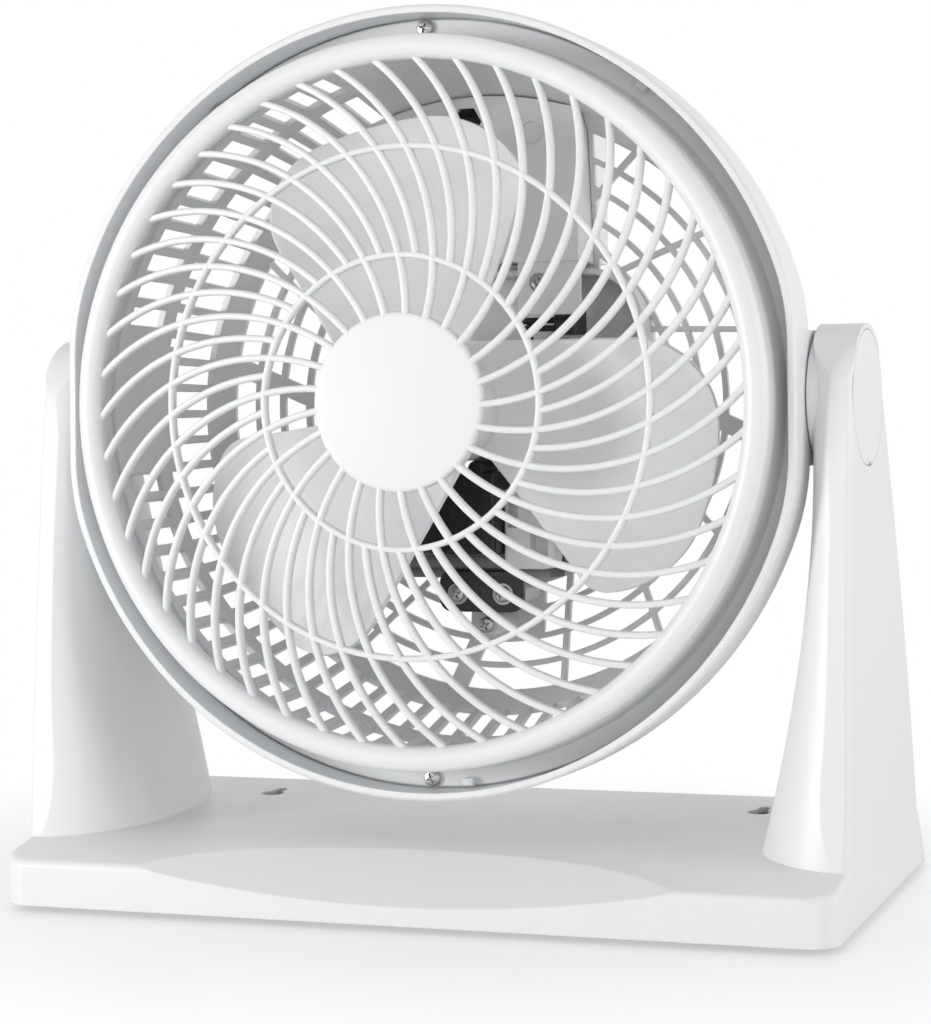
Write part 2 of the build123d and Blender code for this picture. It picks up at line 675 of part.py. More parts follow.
# ---------------------------------------------------------------- head: front grille
def dome(depth):
    """The ribbed dome's skin of one depth, from the middle to the bead."""
    radii = (0.0, GRILLE_HUB_R, *GRILLE_RINGS, BEAD_INNER_R + 1.0)
    skin = list(zip(radii, GRILLE_DOME_Z))
    under = [(r, z - depth) for r, z in reversed(skin)]
    return turned(0, skin + under)


def grille_rib(start_r, turn):
    """One swept rib in plan: a circular arc from a ring out to the bead."""
    cx, cy = clock(GRILLE_RIB_ARC_OFFSET, GRILLE_RIB_ARC_CLOCK)
    half = GRILLE_RIB_WIDTH / 2
    band = Circle(GRILLE_RIB_ARC_R + half) - Circle(GRILLE_RIB_ARC_R - half)
    reach = Pos(-cx, -cy) * (Circle(BEAD_INNER_R + 1.5) - Circle(start_r))
    quarter = Pos(LIP_R / 2, LIP_R / 2) * Rectangle(LIP_R, LIP_R)
    rib = band & reach & quarter
    return Rot(0, 0, -turn) * Pos(cx, cy) * rib


def grille_windows():
    """The openings between the ribs and the two rings."""
    field = Circle(BEAD_INNER_R + 0.8) - Circle(GRILLE_HUB_R)
    for radius in GRILLE_RINGS:
        half = GRILLE_RING_WIDTH / 2
        field -= Circle(radius + half) - Circle(radius - half)
    pitch = 360 / GRILLE_RIBS
    ribs = []
    for k in range(GRILLE_RIBS):
        turn = GRILLE_RIB_CLOCK + k * pitch
        ribs.append(grille_rib(GRILLE_HUB_R - 1, turn))
        ribs.append(grille_rib(GRILLE_RINGS[0], turn + pitch / 2))
    return extrude(field - ribs, 80)


def bead():
    """The thick rolled rim of the grille, its skirt and the flange that sits on the shelf."""
    wall = GRILLE_FLANGE_THICK
    seat = SHELF_Z + GRILLE_SEAT_GAP
    crest = (BEAD_CREST_R, BEAD_CREST_Z)
    flange_r = LIP_R - LIP_WALL - GRILLE_EDGE_GAP
    outer = Polyline((BEAD_INNER_R, 39.4), (BEAD_INNER_R, 42.4))
    outer += ThreePointArc((BEAD_INNER_R, 42.4), crest, (BEAD_OUTER_R - 0.9, 41.6))
    outer += Polyline(
        (BEAD_OUTER_R - 0.9, 41.6),
        (BEAD_OUTER_R, seat + wall),
        (flange_r, seat + wall),
        (flange_r, seat),
        (BEAD_OUTER_R - wall, seat),
        (BEAD_OUTER_R - wall - 0.9, 40.6),
    )
    outer += ThreePointArc(
        (BEAD_OUTER_R - wall - 0.9, 40.6),
        (BEAD_CREST_R, BEAD_CREST_Z - wall),
        (BEAD_INNER_R + wall, 41.4),
    )
    outer += Polyline((BEAD_INNER_R + wall, 41.4), (BEAD_INNER_R + wall, 39.4), (BEAD_INNER_R, 39.4))
    ring = revolve(Plane.XZ * make_face(outer.edges()), axis=Axis.Z)
    half_width = HEAD_HALF_WIDTH - LIP_WALL - GRILLE_EDGE_GAP
    return ring & clipped(flange_r, half_width, 0, 60)


def snap_tab(angle):
    """A small latch on the flange's outer edge."""
    radius = LIP_R - LIP_WALL - GRILLE_EDGE_GAP
    top = SHELF_Z + GRILLE_SEAT_GAP + GRILLE_FLANGE_THICK
    return Rot(0, 0, -angle) * block(-2.2, 2.2, radius - 3, radius, top - 1, top + 3)


def make_front_grille():
    """One moulding: blank hub disc, two rings, 25 long and 25 short swept ribs, rolled rim."""
    grille = dome(GRILLE_RIB_DEPTH) - grille_windows()
    grille -= disc(GRILLE_HUB_R - 2.5, 0, GRILLE_DOME_Z[1] - GRILLE_HUB_THICK)
    grille += bead()
    for angle in (36.5, -37.0, 174.0):
        grille += snap_tab(angle)
    for side in SIDES:
        grille -= disc(SCREW_R + SCREW_SLACK, 0, SHELF_Z + 10, 0, side * GRILLE_SCREW_R)
    return grille


def make_grille_screws():
    """The two screws through the grille's flange, above and below."""
    seat = SHELF_Z + GRILLE_SEAT_GAP + GRILLE_FLANGE_THICK
    form = screw(SCREW_HEAD_R, SCREW_R, SCREW_LEN)
    return Compound(children=[Pos(0, side * GRILLE_SCREW_R, seat) * form for side in SIDES])


# ---------------------------------------------------------------- impeller
def blade_section(station):
    """The blade's dished strip at one distance out from the shaft."""
    half_chord = 22 + 0.31 * station
    slope = (BLADE_FRONT_Z - BLADE_REAR_Z) / (2 * half_chord)
    reach = 75.0
    middle = (BLADE_FRONT_Z + BLADE_REAR_Z) / 2 - BLADE_DISH
    curl = BLADE_DISH * (reach / 45.0) ** 2

    def strip(lift):
        ends = [(t, middle + curl - slope * t + lift) for t in (-reach, reach)]
        return ThreePointArc(ends[0], (0, middle + lift), ends[1]).edge()

    low, high = strip(-BLADE_THICK / 2), strip(BLADE_THICK / 2)
    return [low, Line(low @ 1, high @ 1).edge(), high, Line(high @ 0, low @ 0).edge()]


def blade_plan():
    """The blade seen from the front: straight front edge, round tip, radial rear edge."""
    edge = BLADE_FRONT_OFFSET
    tip_x = (BLADE_TIP_R**2 - edge**2) ** 0.5
    turn_in = clock(BLADE_TIP_R, 118)
    heel = clock(0.83 * BLADE_TIP_R, BLADE_REAR_CLOCK)
    outline = Polyline(heel, (0, 0), (0, edge), (tip_x, edge))
    outline += ThreePointArc((tip_x, edge), clock(BLADE_TIP_R, 95), turn_in)
    outline += ThreePointArc(turn_in, clock(0.935 * BLADE_TIP_R, 132), heel)
    face = make_face(outline.edges())
    front_corner = face.vertices().sort_by_distance((tip_x, edge, 0))[0]
    face = fillet(front_corner, BLADE_FRONT_CORNER_R)
    rear_corner = face.vertices().sort_by_distance((*heel, 0))[0]
    return fillet(rear_corner, BLADE_REAR_CORNER_R)


def blade():
    """One twisted blade, cut to its plan."""
    direction = 107.0
    dx, dy = clock(1, direction)
    sections = []
    for station in (2.0, 40.0, 78.0, 116.0):
        frame = Plane(origin=(station * dx, station * dy, 0), x_dir=(dy, -dx, 0), z_dir=(-dx, -dy, 0))
        sections.append(frame * make_face(blade_section(station)))
    sheet = loft(sections)
    plan = Pos(0, 0, -60) * extrude(blade_plan(), 120)
    return sheet & plan


def make_impeller():
    """One moulding: a cup hub with webs and a shaft boss, and three wide blades."""
    hub = disc(HUB_R, HUB_REAR_Z, HUB_FRONT_Z)
    hub = fillet(hub.edges().sort_by(Axis.Z)[-1], 4)
    form = blade()
    impeller = hub
    for k in range(BLADE_COUNT):
        impeller += Rot(0, 0, -k * 360 / BLADE_COUNT) * form
    impeller -= disc(HUB_R - HUB_WALL, HUB_REAR_Z - 40, HUB_FRONT_Z - HUB_WALL)
    boss_end = HUB_REAR_Z + 1
    impeller += disc(HUB_BOSS_R, boss_end, HUB_FRONT_Z - 1)
    for k in range(HUB_WEBS):
        web = block(HUB_BOSS_R - 1, HUB_R - 1, -0.8, 0.8, HUB_REAR_Z + 4, HUB_FRONT_Z - 1)
        impeller += Rot(0, 0, k * 360 / HUB_WEBS) * web
    return impeller - disc(SHAFT_R, boss_end - 1, SHAFT_FRONT_Z)


def make_hub_clip():
    """The spring ring that grips the hub's boss on the shaft."""
    rear = HUB_REAR_Z + 1.4
    return tube(HUB_BOSS_R + CLIP_THICK, HUB_BOSS_R, rear, rear + CLIP_WIDTH)


def make_shaft():
    """The motor's shaft, from the rear bush to the hub."""
    shaft = disc(SHAFT_R, SHAFT_REAR_Z, SHAFT_FRONT_Z)
    return chamfer(shaft.edges().sort_by(Axis.Z)[-1], 0.6)


def make_rotor():
    """The squirrel-cage core with its two end rings."""
    core = tube(ROTOR_R, SHAFT_R, STACK_REAR_Z + 1, STACK_FRONT_Z - 1)
    ends = [
        tube(ROTOR_R - 2, SHAFT_R, STACK_REAR_Z - 1, STACK_REAR_Z + 1),
        tube(ROTOR_R - 2, SHAFT_R, STACK_FRONT_Z - 1, STACK_FRONT_Z + 0.6),
    ]
    return core + ends


# ---------------------------------------------------------------- motor
def make_laminations():
    """The steel stack: pole head round the rotor, two legs, the coil's bar and the tie bar below."""
    w, leg = STACK_HALF_WIDTH, STACK_LEG
    head_middle = (STACK_TOP + STACK_HEAD_BOTTOM) / 2
    head = Pos(0, head_middle) * RectangleRounded(2 * w, STACK_TOP - STACK_HEAD_BOTTOM, 6)
    plan = head - Circle(ROTOR_R + AIR_GAP)
    leg_top = STACK_HEAD_BOTTOM + 7
    for side in SIDES:
        x = side * (w - leg / 2)
        plan += Pos(x, (STACK_BOTTOM + leg_top) / 2) * Rectangle(leg, leg_top - STACK_BOTTOM)
        plan -= Pos(side * MOTOR_BOLT_X, 0) * Circle(MOTOR_BOLT_R)
    middle = (COIL_TOP + COIL_BOTTOM) / 2
    plan += Pos(0, middle) * Rectangle(2 * w - 2, 2 * CORE_BAR_HALF)
    plan += Pos(0, STACK_BOTTOM + TIE_BAR / 2) * Rectangle(2 * w - 2, TIE_BAR)
    return Pos(0, 0, STACK_REAR_Z) * extrude(plan, STACK_FRONT_Z - STACK_REAR_Z)


def make_coil():
    """The taped winding on the bar between the legs, with its sealed thermal peg."""
    middle_y = (COIL_TOP + COIL_BOTTOM) / 2
    coil = block(COIL_LEFT, COIL_RIGHT, COIL_BOTTOM, COIL_TOP, COIL_REAR_Z, COIL_FRONT_Z)
    corners = coil.edges().filter_by(Axis.Z).group_by(Axis.X)[0].sort_by(Axis.Y)
    coil = chamfer(corners[1], COIL_TOP_CHAMFER)
    corners = coil.edges().filter_by(Axis.Z).group_by(Axis.X)[0].sort_by(Axis.Y)
    coil = chamfer(corners[0], COIL_LOW_CHAMFER)
    rims = coil.edges().group_by(Axis.Z)
    coil = fillet(rims[0] + rims[-1], 1.5)
    peg = disc(COIL_PEG_R, STACK_FRONT_Z, COIL_FRONT_Z, COIL_PEG_X, COIL_TOP + 1)
    coil += chamfer(peg.edges().sort_by(Axis.Z)[-1], 0.8)
    bar = block(-FAR, FAR, middle_y - CORE_BAR_HALF, middle_y + CORE_BAR_HALF, STACK_REAR_Z, STACK_FRONT_Z)
    return coil - bar


def make_terminal_cover():
    """The moulded cover over the winding's terminals, with two pockets for their tags."""
    back, front = STACK_FRONT_Z, STACK_FRONT_Z + TERMINAL_COVER_DEPTH
    left, right = COIL_RIGHT + 0.4, TERMINAL_COVER_RIGHT
    low, high = CLAMP_TOP + 0.8, TERMINAL_COVER_TOP
    cover = block(left, right, low, high, back, front)
    cover = fillet(cover.edges().filter_by(Axis.Z).group_by(Axis.X)[-1], 5)
    cover = chamfer(cover.edges().group_by(Axis.Z)[-1], 0.8)
    cover -= block(left + 1.4, left + 5.6, -47.5, -37.8, front - 6, front + 1)
    return cover - block(left + 10.5, left + 17.5, -58.5, -49.0, front - 6, front + 1)


def make_bracket(face_z, way):
    """A die-cast bearing bracket across the pole head, with the bush's boss."""
    far = face_z + way * BRACKET_THICK
    tip = far + way * BRACKET_BOSS_LEN
    low, high = min(face_z, far), max(face_z, far)
    plan = SlotOverall(2 * (MOTOR_BOLT_X + 6), 16) + Circle(BRACKET_BOSS_R + 5)
    plate = Pos(0, 0, low) * extrude(plan, high - low)
    boss = disc(BRACKET_BOSS_R, min(far, tip), max(far, tip))
    bracket = plate + boss - disc(BUSH_R, -FAR, FAR)
    relief = disc(ROTOR_R - 1.5, low - 0.1, high + 0.1)
    inner = relief & (disc(FAR, low, (low + high) / 2) if way > 0 else disc(FAR, (low + high) / 2, high))
    bracket -= inner
    for side in SIDES:
        bracket -= disc(MOTOR_BOLT_R, -FAR, FAR, side * MOTOR_BOLT_X)
    return bracket


def make_bush(face_z, way):
    """A sintered sleeve in a bracket's boss, running on the shaft."""
    start = face_z + way * BRACKET_THICK
    end = start + way * (BRACKET_BOSS_LEN - 0.5)
    return tube(BUSH_R, SHAFT_R + BUSH_FIT, min(start, end), max(start, end))


def make_motor_bolts():
    seat = STACK_FRONT_Z + BRACKET_THICK
    length = seat - (STACK_REAR_Z - BRACKET_THICK) + 10
    form = screw(3.6, MOTOR_BOLT_R, length)
    return Compound(children=[Pos(side * MOTOR_BOLT_X, 0, seat) * form for side in SIDES])


def make_clamp():
    """The clamp plate over the stack's tie bar, on two posts."""
    middle = (CLAMP_TOP + CLAMP_BOTTOM) / 2
    plan = Pos(CLAMP_X, middle) * RectangleRounded(CLAMP_WIDTH, CLAMP_TOP - CLAMP_BOTTOM, 5)
    for x in CLAMP_SCREWS:
        plan -= Pos(x, CLAMP_SCREW_Y) * Circle(SCREW_R)
    plate = Pos(0, 0, STACK_FRONT_Z) * extrude(plan, CLAMP_THICK)
    return chamfer(plate.edges().group_by(Axis.Z)[-1], 0.5)


def make_clamp_washers():
    """Plain washers under the clamp's screws."""
    seat = STACK_FRONT_Z + CLAMP_THICK
    outer_r = SCREW_HEAD_R + 0.9
    rings = [tube(outer_r, SCREW_R, seat, seat + 0.8, x, CLAMP_SCREW_Y) for x in CLAMP_SCREWS]
    return Compound(children=rings)


def make_clamp_screws():
    """The two screws through the clamp plate into their posts."""
    seat = STACK_FRONT_Z + CLAMP_THICK + 0.8
    form = screw(SCREW_HEAD_R, SCREW_R, 14)
    return Compound(children=[Pos(x, CLAMP_SCREW_Y, seat) * form for x in CLAMP_SCREWS])


def make_housing_screws():
    """One screw holds the control box's column, the other sits in the lower post."""
    (x0, y0), (x1, y1) = HOUSING_SCREW_PLACES
    form = screw(SCREW_HEAD_R, SCREW_R, SCREW_LEN)
    lug = Pos(x0, y0, BOX_FRONT_Z - BOX_WALL - 0.2) * form
    low = Pos(x1, y1, STACK_FRONT_Z - LOW_POST_DROP) * form
    return Compound(children=[lug, low])


def make_motor_lead():
    """The sheathed lead from the connector up into the control box, behind the stack."""
    low, high = CONNECTOR_TOP, BOX_BOTTOM + BOX_WALL + 4
    return Pos(LEAD_X, low, LEAD_Z) * Rot(-90, 0, 0) * extrude(Circle(LEAD_R), high - low)


def make_lead_connector():
    """The black block where the winding's wires join the lead."""
    z0, z1 = LEAD_Z - 6, BOX_FRONT_Z - 2 * BOX_WALL - 1
    right = LEAD_X + LEAD_R + 0.8
    body = block(CONNECTOR_LEFT, right, CONNECTOR_BOTTOM, CONNECTOR_TOP, z0, z1)
    body = chamfer(body.edges().filter_by(Axis.Y), 1.0)
    waist = block(CONNECTOR_LEFT - 1, right + 1, 31.6, 32.6, z1 - 0.8, z1 + 1)
    return body - waist


def make_winding_wires():
    """Two wires from the connector's side, over the stack's edge and down behind it to the coil."""
    wires = []
    for k in range(2):
        y, front, rear = WIRE_Y + WIRE_PITCH * k, WIRE_FRONT_Z, WIRE_REAR_Z - WIRE_PITCH * k
        ends = ((CONNECTOR_LEFT, y, front), (WIRE_X, y, front), (WIRE_X, y, rear), (WIRE_X, COIL_TOP, rear))
        path = FilletPolyline(*ends, radius=3.5)
        start = Plane(origin=ends[0], z_dir=(-1, 0, 0))
        wires.append(sweep(start * Circle(WIRE_R), path=path))
    return Compound(children=wires)


def lead_hole(radius):
    """The way for the lead through the motor cup's wall and the control box's floor."""
    start = POD_TOP - POD_WALL - 3
    length = BOX_BOTTOM + BOX_WALL + 3 - start
    return Pos(LEAD_X, start, LEAD_Z) * Rot(-90, 0, 0) * extrude(Circle(radius), length)


# ---------------------------------------------------------------- control box
def box_plan(inset):
    """The box seen from behind: flat sides and floor, and a top that follows the drum."""
    width = 2 * (BOX_HALF_WIDTH - inset)
    plan = Pos(0, BOX_TOP_R + BOX_BOTTOM + inset) * Rectangle(width, 2 * BOX_TOP_R)
    return plan & Circle(BOX_TOP_R - inset)


def make_control_box():
    """The tray behind the drum's top panel: holed front wall, side walls and screwed column."""
    wall = BOX_WALL
    box = Pos(0, 0, BOX_BACK_Z) * extrude(box_plan(0), BOX_FRONT_Z - BOX_BACK_Z)
    box -= Pos(0, 0, BOX_BACK_Z - 1) * extrude(box_plan(wall), BOX_FRONT_Z - wall - BOX_BACK_Z + 1)
    back = BOX_FRONT_Z - 2 * wall
    box += block(COLUMN_LEFT, BOX_HALF_WIDTH, COLUMN_BOTTOM, BOX_BOTTOM + 1, back, BOX_FRONT_Z - 1)
    (lug_x, lug_y), _ = HOUSING_SCREW_PLACES
    box -= disc(SCREW_HEAD_R + 0.6, BOX_FRONT_Z - wall - 0.2, BOX_FRONT_Z + 1, lug_x, lug_y)
    box -= disc(SCREW_R + SCREW_SLACK, back - 1, BOX_FRONT_Z, lug_x, lug_y)
    cut = wall + 3
    hexagon = RegularPolygon(6.2, 6)
    box -= Pos(-6.2, BOX_TOP_R - 9.8, BOX_FRONT_Z - cut) * extrude(hexagon, cut + 3)
    box -= disc(2.0, BOX_FRONT_Z - cut, BOX_FRONT_Z + 1, -20.0, BOX_TOP_R - 11.5)
    box -= disc(4.4, BOX_FRONT_Z - 1.2, BOX_FRONT_Z + 1, 20.7, BOX_TOP_R - 14.9)
    for x, y in COVER_SCREW_PLACES:
        box += tube(3.6, SCREW_R, BOX_BACK_Z, BOX_FRONT_Z - wall + 0.5, x, y)
    return box - lead_hole(LEAD_R + SCREW_SLACK)


def make_box_cover():
    """The back wall of the control box, with a raised dial seat."""
    z0 = BOX_BACK_Z - COVER_THICK
    cover = Pos(0, 0, z0) * extrude(box_plan(0), COVER_THICK)
    cover = fillet(cover.edges().group_by(Axis.Z)[0], 1.6)
    cover += tube(KNOB_R + 4, KNOB_R + 1.5, z0 - 1.6, z0 + 0.5, 0, KNOB_Y)
    cover -= disc(SPINDLE_R + 1.2, z0 - 1, z0 + 4, 0, KNOB_Y)
    for x, y in COVER_SCREW_PLACES:
        cover -= disc(SCREW_R + SCREW_SLACK, z0 - 1, z0 + 4, x, y)
    return cover - disc(INLET_R - 1, z0 - 1, z0 + 4, INLET_X, INLET_Y)


def make_cover_screws():
    """The four screws that hold the control box's cover."""
    seat = BOX_BACK_Z - COVER_THICK
    form = Rot(180, 0, 0) * screw(SCREW_HEAD_R, SCREW_R, SCREW_LEN, 1.8)
    return Compound(children=[Pos(x, y, seat) * form for x, y in COVER_SCREW_PLACES])


def make_cable_inlet():
    """The rubber inlet in the cover where a supply cord would enter."""
    z0 = BOX_BACK_Z - COVER_THICK
    sleeve = disc(INLET_R - 1, z0, BOX_BACK_Z, INLET_X, INLET_Y)
    sleeve += disc(INLET_R + 1, z0 - 2.5, z0, INLET_X, INLET_Y)
    sleeve += disc(INLET_R + 1, BOX_BACK_Z, BOX_BACK_Z + 2, INLET_X, INLET_Y)
    return sleeve - disc(INLET_R - 2.2, z0 - 5, BOX_BACK_Z + 5, INLET_X, INLET_Y)


def make_switch():
    """The rotary switch behind the cover, with three terminals."""
    half, back = SWITCH_SIZE / 2, BOX_BACK_Z
    front = back + SWITCH_DEPTH
    body = block(-half, half, KNOB_Y - half, KNOB_Y + half, back, front)
    body = chamfer(body.edges().filter_by(Axis.Z), 2)
    for x in (-7, 0, 7):
        body += block(x - 1.6, x + 1.6, KNOB_Y - 0.4, KNOB_Y + 0.4, front, front + 6)
    return body - disc(SPINDLE_R + SPINDLE_FIT, back - 1, back + 11, 0, KNOB_Y)


def make_spindle():
    """The switch's spindle, which carries the knob."""
    return disc(SPINDLE_R, BOX_BACK_Z - 12.4, BOX_BACK_Z + 10, 0, KNOB_Y)


def make_knob():
    """The speed knob: a round skirt and a raised finger bar."""
    near = BOX_BACK_Z - COVER_THICK - KNOB_GAP
    far = near - KNOB_LENGTH
    skirt = disc(KNOB_R, near - 4.5, near, 0, KNOB_Y)
    skirt = chamfer(skirt.edges().sort_by(Axis.Z)[0], 1.2)
    grip = Pos(0, KNOB_Y, far) * extrude(SlotOverall(2 * KNOB_R - 2, 8), KNOB_LENGTH - 4)
    grip = fillet(grip.edges().group_by(Axis.Z)[0], 1.5)
    core = disc(6.5, far + 1.5, near, 0, KNOB_Y)
    return skirt + grip + core - disc(SPINDLE_R, BOX_BACK_Z - 12.4, near + 1, 0, KNOB_Y)


# ---------------------------------------------------------------- pivot hardware on the head
def make_pivot_washers():
    """The plain washers that hold each arm on its trunnion."""
    start = HEAD_HALF_WIDTH + ARM_GAP + TRUNNION_LEN
    rings = []
    for side in SIDES:
        ring = cross_disc(BOSS_TUBE_R, side * start, side * (start + WASHER_THICK))
        rings.append(ring - cross_disc(PIVOT_SCREW_R, side * (start - 1), side * (start + 3)))
    return Compound(children=rings)


def make_pivot_screws():
    """The screws into the ends of the trunnions."""
    start = HEAD_HALF_WIDTH + ARM_GAP + TRUNNION_LEN + WASHER_THICK
    form = screw(PIVOT_SCREW_HEAD_R, PIVOT_SCREW_R, 16, 2.6)
    right = Pos(start, 0, 0) * Rot(0, 90, 0) * form
    left = Pos(-start, 0, 0) * Rot(0, -90, 0) * form
    return Compound(children=[left, right])


# ---------------------------------------------------------------- everything
def main():
    """Builds every sub-part and writes it."""
    os.makedirs("parts", exist_ok=True)
    write("stand", make_stand())
    write("rubber_feet", make_feet())
    write("pivot_cap_left", make_cap(-1))
    write("pivot_cap_right", make_cap(1))
    write("wave_washers", make_wave_washers())
    head_parts = {
        "rear_housing": make_rear_housing(),
        "front_grille": make_front_grille(),
        "grille_screws": make_grille_screws(),
        "pivot_washers": make_pivot_washers(),
        "pivot_screws": make_pivot_screws(),
        "motor_laminations": make_laminations(),
        "motor_coil": make_coil(),
        "terminal_cover": make_terminal_cover(),
        "front_bearing_bracket": make_bracket(STACK_FRONT_Z, 1),
        "rear_bearing_bracket": make_bracket(STACK_REAR_Z, -1),
        "front_bush": make_bush(STACK_FRONT_Z, 1),
        "rear_bush": make_bush(STACK_REAR_Z, -1),
        "motor_bolts": make_motor_bolts(),
        "motor_clamp": make_clamp(),
        "clamp_washers": make_clamp_washers(),
        "clamp_screws": make_clamp_screws(),
        "housing_screws": make_housing_screws(),
        "motor_lead": make_motor_lead(),
        "lead_connector": make_lead_connector(),
        "winding_wires": make_winding_wires(),
        "control_box": make_control_box(),
        "control_box_cover": make_box_cover(),
        "cover_screws": make_cover_screws(),
        "cable_inlet": make_cable_inlet(),
        "rotary_switch": make_switch(),
        "switch_spindle": make_spindle(),
        "speed_knob": make_knob(),
        "impeller": make_impeller(),
        "hub_clip": make_hub_clip(),
        "motor_shaft": make_shaft(),
        "rotor": make_rotor(),
    }
    for node, shape in head_parts.items():
        write(node, HEAD * shape)


main()
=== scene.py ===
"""Desk air circulator fan: fine meshes, finishes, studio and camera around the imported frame.

The head has its own frame, as in the part: x to the right, u up and s the way the air goes, with the
origin on the tilt axis. Pieces of the head are drawn there in millimetres and then put in place.
Clock angles run clockwise from the top, seen from the front.
"""

import json
from math import atan2, cos, hypot, pi, radians, sin, sqrt

import bmesh
import bpy
import numpy as np
from bpy.props import FloatProperty, FloatVectorProperty, IntProperty, PointerProperty
from mathutils import Matrix, Vector


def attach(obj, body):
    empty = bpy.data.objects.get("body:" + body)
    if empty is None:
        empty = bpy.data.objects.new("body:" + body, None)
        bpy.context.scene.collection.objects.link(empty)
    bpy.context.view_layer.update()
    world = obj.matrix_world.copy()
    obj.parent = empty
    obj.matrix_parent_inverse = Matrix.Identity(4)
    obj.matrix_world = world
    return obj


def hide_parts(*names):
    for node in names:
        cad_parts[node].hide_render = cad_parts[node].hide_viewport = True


bl_info = {
    "name": "Desk air circulator",
    "version": (1, 0, 0),
    "blender": (4, 5, 0),
    "location": "View3D > Sidebar > Circulator",
    "description": "Builds the fine meshes, finishes and studio of a tilting desk air circulator",
    "category": "Add Mesh",
}

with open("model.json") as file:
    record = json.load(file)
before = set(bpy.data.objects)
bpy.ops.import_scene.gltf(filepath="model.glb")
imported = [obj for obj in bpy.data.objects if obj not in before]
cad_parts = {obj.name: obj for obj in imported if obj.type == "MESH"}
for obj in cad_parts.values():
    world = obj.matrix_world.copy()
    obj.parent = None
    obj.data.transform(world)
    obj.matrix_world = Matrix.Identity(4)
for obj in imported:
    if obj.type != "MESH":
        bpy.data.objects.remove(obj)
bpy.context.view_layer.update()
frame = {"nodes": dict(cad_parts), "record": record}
MM = 0.001


# ---------------------------------------------------------------- the head's own frame
def head_axes():
    """The head's frame, from the tilt joint's place and the impeller's axis."""
    joints = {joint["name"]: joint for joint in frame["record"]["behaviour"]["joints"]}
    ahead = Vector(joints["impeller_spin"]["axis"]).normalized()
    right = Vector((1, 0, 0))
    turn = Matrix((right, ahead.cross(right), ahead)).transposed().to_4x4()
    return Matrix.Translation(joints["head_tilt"]["pos_m"]) @ turn @ Matrix.Scale(MM, 4)


HEAD = head_axes()
LEAN = -atan2(HEAD[2][2], -HEAD[1][2])


def head_points(name):
    """A node's corners in the head's frame, in millimetres."""
    mesh = frame["nodes"][name].data
    points = np.empty(3 * len(mesh.vertices), dtype=np.float64)
    mesh.vertices.foreach_get("co", points)
    back = np.array(HEAD.inverted())
    return points.reshape(-1, 3) @ back[:3, :3].T + back[:3, 3]


GRILLE_POINTS = head_points("front_grille")
FLANGE_R = float(GRILLE_POINTS[:, 1].max())
FLANGE_HALF_WIDTH = float(GRILLE_POINTS[:, 0].max())
FLANGE_SEAT = float(GRILLE_POINTS[:, 2].min())
DOME_TOP = float(GRILLE_POINTS[:, 2].max())
FLANGE_THICK = 2.4
FLANGE_WIDTH = 6.8
BEAD_HALF_WIDTH = 5.0
BEAD_BELOW_DOME = 9.6
BEAD_OUTER_R = FLANGE_R - FLANGE_WIDTH
BEAD_CREST_R = BEAD_OUTER_R - BEAD_HALF_WIDTH
BEAD_INNER_R = BEAD_CREST_R - BEAD_HALF_WIDTH
BEAD_CREST = DOME_TOP - BEAD_BELOW_DOME
DOME_DROP = 12.8
DOME_CONE = 0.3
INNER_RING_SHARE = 0.4254
OUTER_RING_SHARE = 0.7416


# ---------------------------------------------------------------- sizes and colours to change
def length(label, what, size):
    """A length in metres that a user may change."""
    return FloatProperty(name=label, description=what, default=size * MM, unit="LENGTH", precision=4)


def colour(label, what, value):
    """A colour that a user may change."""
    return FloatVectorProperty(
        name=label, description=what, default=value, subtype="COLOR", size=3, min=0.0, max=1.0
    )


def power(label, what, watts):
    """A lamp's power that a user may change."""
    return FloatProperty(name=label, description=what, default=watts, min=0.0, unit="POWER")


class FAN_PG_grille(bpy.types.PropertyGroup):
    """Sizes of the front grille"""

    hub_radius: length("Hub radius", "Radius of the blank disc in the middle", 32.4)
    inner_ring: length(
        "Inner ring", "Radius of the ring where the short ribs start", INNER_RING_SHARE * BEAD_INNER_R
    )
    outer_ring: length(
        "Outer ring", "Radius of the ring that ties the ribs", OUTER_RING_SHARE * BEAD_INNER_R
    )
    rib_width: length("Rib width", "Width of each swept rib", 2.5)
    rib_depth: length("Rib depth", "Depth of each swept rib", 4.0)
    ring_width: length("Ring width", "Width of the two rings", 2.2)
    ribs: IntProperty(name="Ribs", description="Long ribs, and as many short ones", default=25, min=3)
    first_rib: FloatProperty(
        name="First rib",
        description="Clock angle of the first rib",
        default=radians(5.5),
        subtype="ANGLE",
    )


class FAN_PG_impeller(bpy.types.PropertyGroup):
    """Sizes of the impeller"""

    tip_radius: length("Tip radius", "Reach of each blade from the shaft", 108.0)
    thickness: length("Blade thickness", "Thickness of the blade sheets", 2.0)
    dish: length("Dish", "How far each blade is hollowed", 8.0)
    hub_radius: length("Hub radius", "Radius of the hub cup", 22.5)
    blades: IntProperty(name="Blades", description="Number of blades", default=3, min=2)


class FAN_PG_colours(bpy.types.PropertyGroup):
    """Colours of the visible mouldings"""

    body: colour("Body", "Stand, drum and cover", (0.80, 0.81, 0.82))
    grille: colour("Grille", "Front grille", (0.80, 0.81, 0.82))
    # Painted light: the blades and the inner parts are the same white plastic as the body and grille,
    # given a brighter colour that stands in for light in the shade behind the grille and inside the drum.
    blades: colour("Blades", "Impeller", (0.93, 0.935, 0.945))
    inner: colour("Inner", "Control box and terminal cover", (0.93, 0.935, 0.945))


class FAN_PG_light(bpy.types.PropertyGroup):
    """Strengths of the studio's lights"""

    room: FloatProperty(name="Room", description="Strength of the even room light", default=0.50, min=0.0)
    key: power("Key", "Lamp at the front and left", 16.0)
    fill: power("Fill", "Lamp at the front and right", 4.0)
    side: power("Side", "Lamp at the right", 7.0)
    back: power("Back", "Lamp behind, at the right", 3.0)
    top: power("Top", "Overhead lamp", 1.5)


